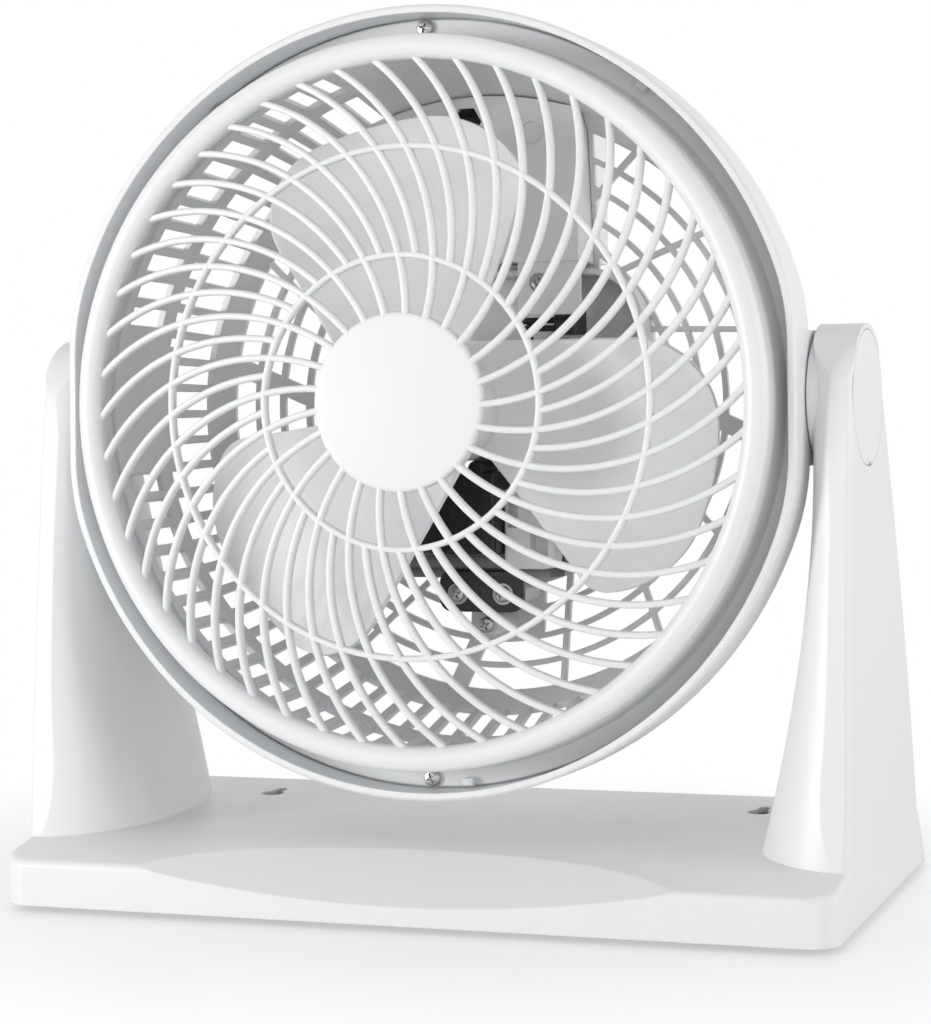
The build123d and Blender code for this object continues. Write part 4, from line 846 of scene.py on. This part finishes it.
def blade_sides(tip):
    """The four sides of the blade's plan: root, front edge, rear edge and tip."""
    centre_y = STRAIGHT_EDGE - FRONT_CORNER_R
    centre = np.array((sqrt((tip - FRONT_CORNER_R) ** 2 - centre_y**2), centre_y))
    turn_in = np.arctan2(centre[1], centre[0])
    bends = np.linspace(pi / 2, turn_in, 25)
    corner = [centre + FRONT_CORNER_R * np.array((cos(a), sin(a))) for a in bends]
    start = pi / 2 - turn_in
    outer = [tip * np.array((sin(a), cos(a))) for a in np.linspace(start, radians(TIP_END_CLOCK), 30)]
    heel = clock_point(HEEL_SHARE * tip, TRAIL_CLOCK)
    halfway = clock_point(FALL_SHARE * tip, FALL_CLOCK)
    fall = arc_through(clock_point(tip, TIP_END_CLOCK), halfway, heel, 30)[:-4]
    low = clock_point(REAR_SHARE * tip, TRAIL_CLOCK)
    last = np.array(fall[-1])
    bend = [(1 - t) ** 2 * last + 2 * t * (1 - t) * heel + t * t * low for t in np.linspace(0, 1, 13)]
    front = [(1.5, STRAIGHT_EDGE), (centre[0], STRAIGHT_EDGE), *corner[1:13]]
    top = [*corner[12:], *outer[1:], *fall[1:], *bend[1:7]]
    rear = [clock_point(BLADE_ROOT_R, TRAIL_CLOCK), low, *reversed(bend[6:-1])]
    turns = np.linspace(0.06, radians(TRAIL_CLOCK), 30)
    root = [BLADE_ROOT_R * np.array((sin(a), cos(a))) for a in turns]
    root[0] = np.array(front[0])
    return root, front, rear, top


def blade_height(x, y, dish):
    """The blade's twisted and dished sheet over a point of its plan."""
    dx, dy = sin(radians(BLADE_SPINE_CLOCK)), cos(radians(BLADE_SPINE_CLOCK))
    station, across = x * dx + y * dy, x * dy - y * dx
    slope = (BLADE_FRONT - BLADE_REAR) / (2 * (ROOT_HALF_CHORD + CHORD_GROWTH * station))
    curl = dish * (across / DISH_REACH) ** 2
    return (BLADE_FRONT + BLADE_REAR) / 2 - dish + curl - slope * across


def blade_mesh(tip, thickness, dish, rows=56, columns=64):
    """One blade: a smooth patch between its four sides, thickened, with rounded edges."""
    root, front, rear, top = blade_sides(tip)
    root, top = resampled(root, columns), resampled(top, columns)
    front, rear = resampled(front, rows), resampled(rear, rows)
    bm = bmesh.new()
    grid = []
    for j in range(rows):
        v = j / (rows - 1)
        row = []
        for i in range(columns):
            u = i / (columns - 1)
            sides = (1 - v) * root[i] + v * top[i] + (1 - u) * front[j] + u * rear[j]
            low, high = (1 - u) * root[0] + u * root[-1], (1 - u) * top[0] + u * top[-1]
            x, y = sides - (1 - v) * low - v * high
            row.append(bm.verts.new((x, y, blade_height(x, y, dish))))
        grid.append(row)
    for low, high in zip(grid, grid[1:]):
        for i in range(columns - 1):
            bm.faces.new((low[i], low[i + 1], high[i + 1], high[i]))
    piece = shown(closed_up(bm, "blade", 1e-5), "blade")
    wall = piece.modifiers.new("wall", "SOLIDIFY")
    wall.thickness = thickness
    wall.offset = 0.0
    wall.use_even_offset = True
    edges = piece.modifiers.new("edges", "BEVEL")
    edges.width = BLADE_EDGE_SHARE * thickness
    edges.segments = 3
    edges.angle_limit = radians(60)
    mesh = settled(piece).data
    bpy.data.objects.remove(piece)
    return mesh


def hub_cup(radius):
    """The hub: a cup with a rounded front, an inner boss and a flat rear rim."""
    inside, floor, foot = radius - HUB_WALL, HUB_FRONT - HUB_WALL, HUB_REAR + 1.0
    across, along = radius - HUB_ROUND, HUB_FRONT - HUB_ROUND
    bends = np.linspace(0, pi / 2, 9)
    section = [(0, HUB_FRONT), (BOSS_R, HUB_FRONT)]
    section += [(across + HUB_ROUND * sin(a), along + HUB_ROUND * cos(a)) for a in bends]
    section += [(radius, HUB_REAR + 0.5), (radius - 0.5, HUB_REAR), (inside, HUB_REAR)]
    section += [(inside, floor - 1), (inside - 1, floor), (BOSS_R, floor), (BOSS_R, foot + 0.4)]
    section += [(BOSS_R - 0.4, foot), (SHAFT_BORE_R, foot), (SHAFT_BORE_R, BORE_END), (0, BORE_END)]
    return ring_mesh("hub_cup", section, 96)


class FAN_OT_impeller(bpy.types.Operator):
    """Build the impeller: three wide dished blades, the hub cup and its webs"""

    bl_idname = "circulator.impeller"
    bl_label = "Impeller"

    def execute(self, context):
        sizes = context.scene.circulator_impeller
        copies = turned_copies_tree()
        stuff = finish("blade_plastic")
        blade = blade_mesh(sizes.tip_radius / MM, sizes.thickness / MM, sizes.dish / MM)
        blades = run_tree(copies, "blades", blade, Count=sizes.blades, First=0.0, Material=stuff)
        radius = sizes.hub_radius / MM
        wall = (-WEB_HALF_THICK, WEB_HALF_THICK)
        web = block_mesh("web", *wall, BOSS_R - 0.5, radius - 1, WEB_REAR, BLADE_FRONT + 0.5)
        web = bevelled(web, "web", 0.2, 2)
        webs = run_tree(copies, "webs", web, Count=WEBS, First=0.0, Material=stuff)
        whole = joined("fan_blades", [blades, webs, hub_cup(radius)])
        fitted(whole, "fan_blades", "impeller_body", "blade_plastic", ["impeller"], sharp=50.0)
        return {"FINISHED"}


# ---------------------------------------------------------------- fasteners
RECESS_REACH = 0.62
RECESS_HALF_WIDTH = 0.13
RECESS_DEPTH = 0.62
RECESS_WALL = 0.05
HEAD_EDGE = 0.93
BELOW_SEAT = 1.5
FIRST_SPIN = 24
SPIN_STEP = 47


def islands(name):
    """The separate solids of a node, each as its points in the head's frame."""
    mesh = frame["nodes"][name].data
    bm = bmesh.new()
    bm.from_mesh(mesh)
    bmesh.ops.remove_doubles(bm, verts=bm.verts, dist=1e-6)
    back = HEAD.inverted()
    left, groups = set(bm.verts), []
    while left:
        stack, group = [left.pop()], []
        while stack:
            vert = stack.pop()
            group.append(back @ vert.co)
            for edge in vert.link_edges:
                other = edge.other_vert(vert)
                if other in left:
                    left.remove(other)
                    stack.append(other)
        groups.append(np.array(group))
    bm.free()
    return sorted(groups, key=lambda group: tuple(group.mean(axis=0).round(2)))


def pan_screw(head_r, head_len, shank_r, reach):
    """A pan-head screw on its seat, with a tapered cross recess and a pointed shank."""
    arm_r, arm_half, sunk = RECESS_REACH * head_r, RECESS_HALF_WIDTH * head_r, RECESS_DEPTH * head_len

    def recess(x, y, z):
        if z < 0.3 * head_len:
            return 0.0
        along, across = max(abs(x), abs(y)), min(abs(x), abs(y))
        side = (arm_half * (1.25 - 0.5 * along / arm_r) - across) / (RECESS_WALL * head_r)
        end = (arm_r - along) / (2 * RECESS_WALL * head_r)
        return -sunk * min(1.0, max(0.0, side)) * min(1.0, max(0.0, end)) * (1 - 0.4 * along / arm_r)

    crown = [(r * head_r, head_len * (1 - 0.28 * r**3)) for r in np.linspace(0, 0.86, 30)]
    turn = [(0.93, 0.66), (0.98, 0.5), (1.0, 0.32), (0.985, 0.08), (0.95, 0.0)]
    section = [*crown, *((head_r * r, head_len * z) for r, z in turn)]
    section += [(shank_r, 0.0), (shank_r, 1.2 * shank_r - reach), (0.35 * shank_r, -reach), (0, -reach)]
    return ring_mesh("screw", section, 72, lift=recess)


def seats(name, axis, way):
    """Where each of a node's screws sits: place, head radius, head length, shank radius and reach."""
    found = []
    for points in islands(name):
        away = way(points) if callable(way) else way
        others = [i for i in range(3) if i != axis]
        middle = (points.min(axis=0) + points.max(axis=0)) / 2
        spread = np.hypot(*(points[:, others] - middle[others]).T)
        along = away * points[:, axis]
        head_r = float(spread.max())
        seat = float(along[spread > HEAD_EDGE * head_r].min())
        shank_r = float(spread[along < seat - BELOW_SEAT].max())
        middle[axis] = away * seat
        head_len, reach = float(along.max()) - seat, seat - float(along.min())
        found.append((middle, away, head_r, head_len, shank_r, reach))
    return found


def screws(name, axis=2, way=1):
    """The fine screws of one node, each on its seat and turned a little differently."""
    found = seats(name, axis, way)
    _, _, head_r, head_len, shank_r, reach = found[0]
    fastener = shown(pan_screw(head_r, head_len, shank_r, reach), "fastener")
    points = bpy.data.meshes.new("seats")
    points.from_pydata([tuple(place) for place, *_ in found], [], [])
    turns = points.attributes.new("turn", "FLOAT_VECTOR", "POINT")
    for k, (_, away, *_) in enumerate(found):
        spin = radians(FIRST_SPIN + SPIN_STEP * k)
        if axis == 2:
            turns.data[k].vector = (0 if away > 0 else pi, 0, spin)
        else:
            turns.data[k].vector = (spin, away * pi / 2, 0)
    zinc = finish("zinc_screws")
    mesh = run_tree(placed_copies_tree(), name, points, Fastener=fastener, Material=zinc)
    bpy.data.objects.remove(fastener)
    fitted(mesh, "fine_" + name, "head_body", "zinc_screws", [name], sharp=30.0)


class FAN_OT_screws(bpy.types.Operator):
    """Put a cross-recessed screw on every screw's place"""

    bl_idname = "circulator.screws"
    bl_label = "Screws"

    def execute(self, context):
        for name in ("grille_screws", "clamp_screws", "housing_screws", "motor_bolts"):
            screws(name)
        screws("cover_screws", way=-1)
        screws("pivot_screws", axis=0, way=lambda points: 1 if points[:, 0].mean() > 0 else -1)
        return {"FINISHED"}


# ---------------------------------------------------------------- motor
SHEETS = 36
SHEET_SHARE = 0.8
STACK_CORNER_R = 6.0
LEG_WIDTH = 11.0
TIE_HEIGHT = 9.0
POLE_FOOT = -22.0
COIL_BAR_TOP = -35.5
COIL_BAR_LOW = -47.5
POLE_BORE_R = 14.6
BOLT_X = 22.0
BOLT_R = 2.0


def hole(x, radius, count):
    """A round hole's outline, level with the axis."""
    return [(x + radius * sin(a), radius * cos(a)) for a in np.linspace(0, 2 * pi, count, endpoint=False)]


def stack_outline(points):
    """The stamped sheet: pole head, two legs, the coil's bar and the tie bar, and its holes."""
    half, top, low = float(points[:, 0].max()), float(points[:, 1].max()), float(points[:, 1].min())
    leg, tie, corner = half - LEG_WIDTH, low + TIE_HEIGHT, STACK_CORNER_R
    bends = np.linspace(0, pi / 2, 7)
    right = [(half - corner + corner * sin(a), top - corner + corner * cos(a)) for a in bends]
    outer = [*right, (half, low), (-half, low), *[(-x, y) for x, y in reversed(right)]]
    upper = [(leg, POLE_FOOT), (leg, COIL_BAR_TOP), (-leg, COIL_BAR_TOP), (-leg, POLE_FOOT)]
    lower = [(leg, COIL_BAR_LOW), (leg, tie), (-leg, tie), (-leg, COIL_BAR_LOW)]
    bolts = [hole(x, BOLT_R, 16) for x in (-BOLT_X, BOLT_X)]
    return [outer, upper, lower, hole(0, POLE_BORE_R, 48), *bolts]


def sheet_mesh(loops, thickness):
    """One flat sheet with holes, from its closed outlines."""
    bm = bmesh.new()
    edges = []
    for loop in loops:
        verts = [bm.verts.new((x, y, 0)) for x, y in loop]
        edges += [bm.edges.new(pair) for pair in zip(verts, verts[1:] + verts[:1])]
    filled = bmesh.ops.triangle_fill(bm, edges=edges, use_beauty=True)
    faces = [item for item in filled["geom"] if isinstance(item, bmesh.types.BMFace)]
    raised = bmesh.ops.extrude_face_region(bm, geom=faces, use_keep_orig=True)
    for item in raised["geom"]:
        if isinstance(item, bmesh.types.BMVert):
            item.co.z += thickness
    return closed_up(bm, "sheet")


class FAN_OT_motor_stack(bpy.types.Operator):
    """Build the motor's stack of stamped steel sheets"""

    bl_idname = "circulator.motor_stack"
    bl_label = "Motor stack"

    def execute(self, context):
        points = head_points("motor_laminations")
        rear, front = float(points[:, 2].min()), float(points[:, 2].max())
        pitch = (front - rear) / SHEETS
        sheet = sheet_mesh(stack_outline(points), SHEET_SHARE * pitch)
        stuff = finish("stack_steel")
        stack = run_tree(stack_tree(), "stack", sheet, Count=SHEETS, Pitch=pitch, Material=stuff)
        stack.transform(Matrix.Translation((0, 0, rear + 0.5 * (1 - SHEET_SHARE) * pitch)))
        fitted(stack, "stamped_stack", "head_body", "stack_steel", ["motor_laminations"], sharp=30.0)
        return {"FINISHED"}


# ---------------------------------------------------------------- studio
CAMERA_PLACE = (0.3730, -1.0055, 0.2260)
CAMERA_YAW = 20.56
CAMERA_PITCH = 2.26
CAMERA_ROLL = -1.61
FOCAL_PIXELS = 2818.4
IMAGE_WIDTH = 931.0
CENTRE_OFFSET = (-12.1, -106.9)
SENSOR_WIDTH = 36.0
FLOOR_REACH = 6.0
FLOOR_GAP = 0.0002
FLOOR_TONE = 0.93
FADE_START = 0.20
FADE_END = 0.40
FADE_DEPTH = 1.7
LEAST_FADE = 0.5


def aimed_camera():
    """The camera at the photograph's place, turn, lens and shift."""
    yaw, pitch, roll = radians(CAMERA_YAW), radians(CAMERA_PITCH), radians(CAMERA_ROLL)
    ahead = Vector((-sin(yaw) * cos(pitch), cos(yaw) * cos(pitch), -sin(pitch)))
    right = Vector((cos(yaw), sin(yaw), 0))
    up = right.cross(ahead)
    right, up = cos(roll) * right + sin(roll) * up, -sin(roll) * right + cos(roll) * up
    data = bpy.data.cameras.new("photograph")
    data.sensor_fit = "HORIZONTAL"
    data.sensor_width = SENSOR_WIDTH
    data.lens = FOCAL_PIXELS / IMAGE_WIDTH * SENSOR_WIDTH
    data.shift_x = -CENTRE_OFFSET[0] / IMAGE_WIDTH
    data.shift_y = CENTRE_OFFSET[1] / IMAGE_WIDTH
    data.clip_end = 50.0
    camera = bpy.data.objects.new("photograph", data)
    turn = Matrix((right, up, -ahead)).transposed().to_4x4()
    camera.matrix_world = Matrix.Translation(CAMERA_PLACE) @ turn
    bpy.context.scene.collection.objects.link(camera)
    bpy.context.scene.camera = camera
    return camera


def soft_lamp(name, place, aim, size, watts):
    """A round soft lamp, turned to a point."""
    data = bpy.data.lights.new(name, "AREA")
    data.shape = "DISK"
    data.size = size
    data.energy = watts
    lamp = bpy.data.objects.new(name, data)
    lamp.location = place
    lamp.rotation_euler = (Vector(aim) - Vector(place)).to_track_quat("-Z", "Y").to_euler()
    bpy.context.scene.collection.objects.link(lamp)
    return lamp


def white_room(strength):
    """A world that lights the fan softly and shows white behind it."""
    world = bpy.data.worlds.new("studio")
    world.use_nodes = True
    bpy.context.scene.world = world
    tree = world.node_tree
    tree.nodes.clear()
    path = node(tree, "ShaderNodeLightPath", -800, 0).outputs
    seen = maths(tree, "MAXIMUM", path["Is Camera Ray"], path["Is Glossy Ray"])
    seen = maths(tree, "MAXIMUM", seen, path["Is Transmission Ray"])
    light = node(tree, "ShaderNodeBackground", 0, 100)
    light.inputs["Color"].default_value = (1, 1, 1, 1)
    out = node(tree, "ShaderNodeOutputWorld", 200, 100)
    tree.links.new(level(tree, seen, strength, 1.0), light.inputs["Strength"])
    tree.links.new(light.outputs["Background"], out.inputs["Surface"])


def pale_floor():
    """A wide floor: pale near the fan, where it keeps the shadow, and fading into white."""
    mesh = bpy.data.meshes.new("floor")
    corners = [(x * FLOOR_REACH, y * FLOOR_REACH, 0) for x, y in ((-1, -1), (1, -1), (1, 1), (-1, 1))]
    mesh.from_pydata(corners, [], [(0, 1, 2, 3)])
    floor = bpy.data.objects.new("floor", mesh)
    floor.location.z = -FLOOR_GAP
    bpy.context.scene.collection.objects.link(floor)
    material = blank_material("floor")
    tree = material.node_tree
    link = tree.links.new
    place = node(tree, "ShaderNodeTexCoord", -900, 0)
    oval = node(tree, "ShaderNodeMapping", -900, -300)
    oval.inputs["Scale"].default_value = (1.0, FADE_DEPTH, 1.0)
    far = node(tree, "ShaderNodeVectorMath", -700, 0, operation="LENGTH")
    fade = node(tree, "ShaderNodeMapRange", -500, 0)
    fade.inputs["From Min"].default_value = FADE_START
    fade.inputs["From Max"].default_value = FADE_END
    fade.inputs["To Min"].default_value = LEAST_FADE
    path = node(tree, "ShaderNodeLightPath", -700, 300)
    both = maths(tree, "MULTIPLY", fade.outputs["Result"], path.outputs["Is Camera Ray"])
    matt = node(tree, "ShaderNodeBsdfPrincipled", -300, -100, Roughness=0.28)
    matt.inputs["Base Color"].default_value = (FLOOR_TONE, FLOOR_TONE, FLOOR_TONE, 1)
    white = node(tree, "ShaderNodeEmission", -300, -600)
    mix = node(tree, "ShaderNodeMixShader", 0, 0)
    out = node(tree, "ShaderNodeOutputMaterial", 200, 0)
    link(place.outputs["Object"], oval.inputs["Vector"])
    link(oval.outputs["Vector"], far.inputs[0])
    link(far.outputs["Value"], fade.inputs["Value"])
    link(both, mix.inputs[0])
    link(matt.outputs["BSDF"], mix.inputs[1])
    link(white.outputs["Emission"], mix.inputs[2])
    link(mix.outputs[0], out.inputs["Surface"])
    mesh.materials.append(material)
    return floor


class FAN_OT_studio(bpy.types.Operator):
    """Set the floor, the lamps, the white room and the camera"""

    bl_idname = "circulator.studio"
    bl_label = "Studio"

    def execute(self, context):
        light = context.scene.circulator_light
        context.scene.view_settings.view_transform = "Standard"
        pale_floor()
        white_room(light.room)
        soft_lamp("key", place=(-1.25, -1.3, 0.3), aim=(0, 0, 0.17), size=0.6, watts=light.key)
        soft_lamp("fill", place=(0.9, -1.4, 0.1), aim=(0, 0, 0.17), size=0.8, watts=light.fill)
        soft_lamp("side", place=(1.6, -0.3, 0.5), aim=(0, 0, 0.15), size=0.9, watts=light.side)
        soft_lamp("back", place=(1.5, 1.0, 0.6), aim=(0, 0, 0.17), size=0.9, watts=light.back)
        soft_lamp("top", place=(0.0, 0.3, 1.6), aim=(0, 0, 0.1), size=1.2, watts=light.top)
        aimed_camera()
        return {"FINISHED"}


# ---------------------------------------------------------------- add-on
class FAN_PT_panel(bpy.types.Panel):
    """Lists the pieces, their sizes and the studio"""

    bl_idname = "FAN_PT_panel"
    bl_label = "Circulator"
    bl_space_type = "VIEW_3D"
    bl_region_type = "UI"
    bl_category = "Circulator"

    def draw(self, context):
        for operator in OPERATORS:
            self.layout.operator(operator.bl_idname)
        for name in GROUPS:
            box = self.layout.box()
            settings = getattr(context.scene, name)
            for key in settings.__annotations__:
                box.prop(settings, key)


OPERATORS = (
    FAN_OT_finishes,
    FAN_OT_front_grille,
    FAN_OT_impeller,
    FAN_OT_screws,
    FAN_OT_motor_stack,
    FAN_OT_studio,
)
GROUPS = {
    "circulator_grille": FAN_PG_grille,
    "circulator_impeller": FAN_PG_impeller,
    "circulator_colours": FAN_PG_colours,
    "circulator_light": FAN_PG_light,
}
CLASSES = (*GROUPS.values(), *OPERATORS, FAN_PT_panel)


def register():
    """Registers the classes and the scene's settings."""
    for kind in CLASSES:
        bpy.utils.register_class(kind)
    for name, kind in GROUPS.items():
        setattr(bpy.types.Scene, name, PointerProperty(type=kind))


def unregister():
    """Undoes register."""
    for name in GROUPS:
        delattr(bpy.types.Scene, name)
    for kind in reversed(CLASSES):
        bpy.utils.unregister_class(kind)


def main():
    """Builds every piece and the studio in order."""
    register()
    bpy.ops.circulator.finishes()
    bpy.ops.circulator.front_grille()
    bpy.ops.circulator.impeller()
    bpy.ops.circulator.screws()
    bpy.ops.circulator.motor_stack()
    bpy.ops.circulator.studio()
    bpy.context.view_layer.update()


if __name__ == "__main__":
    main()
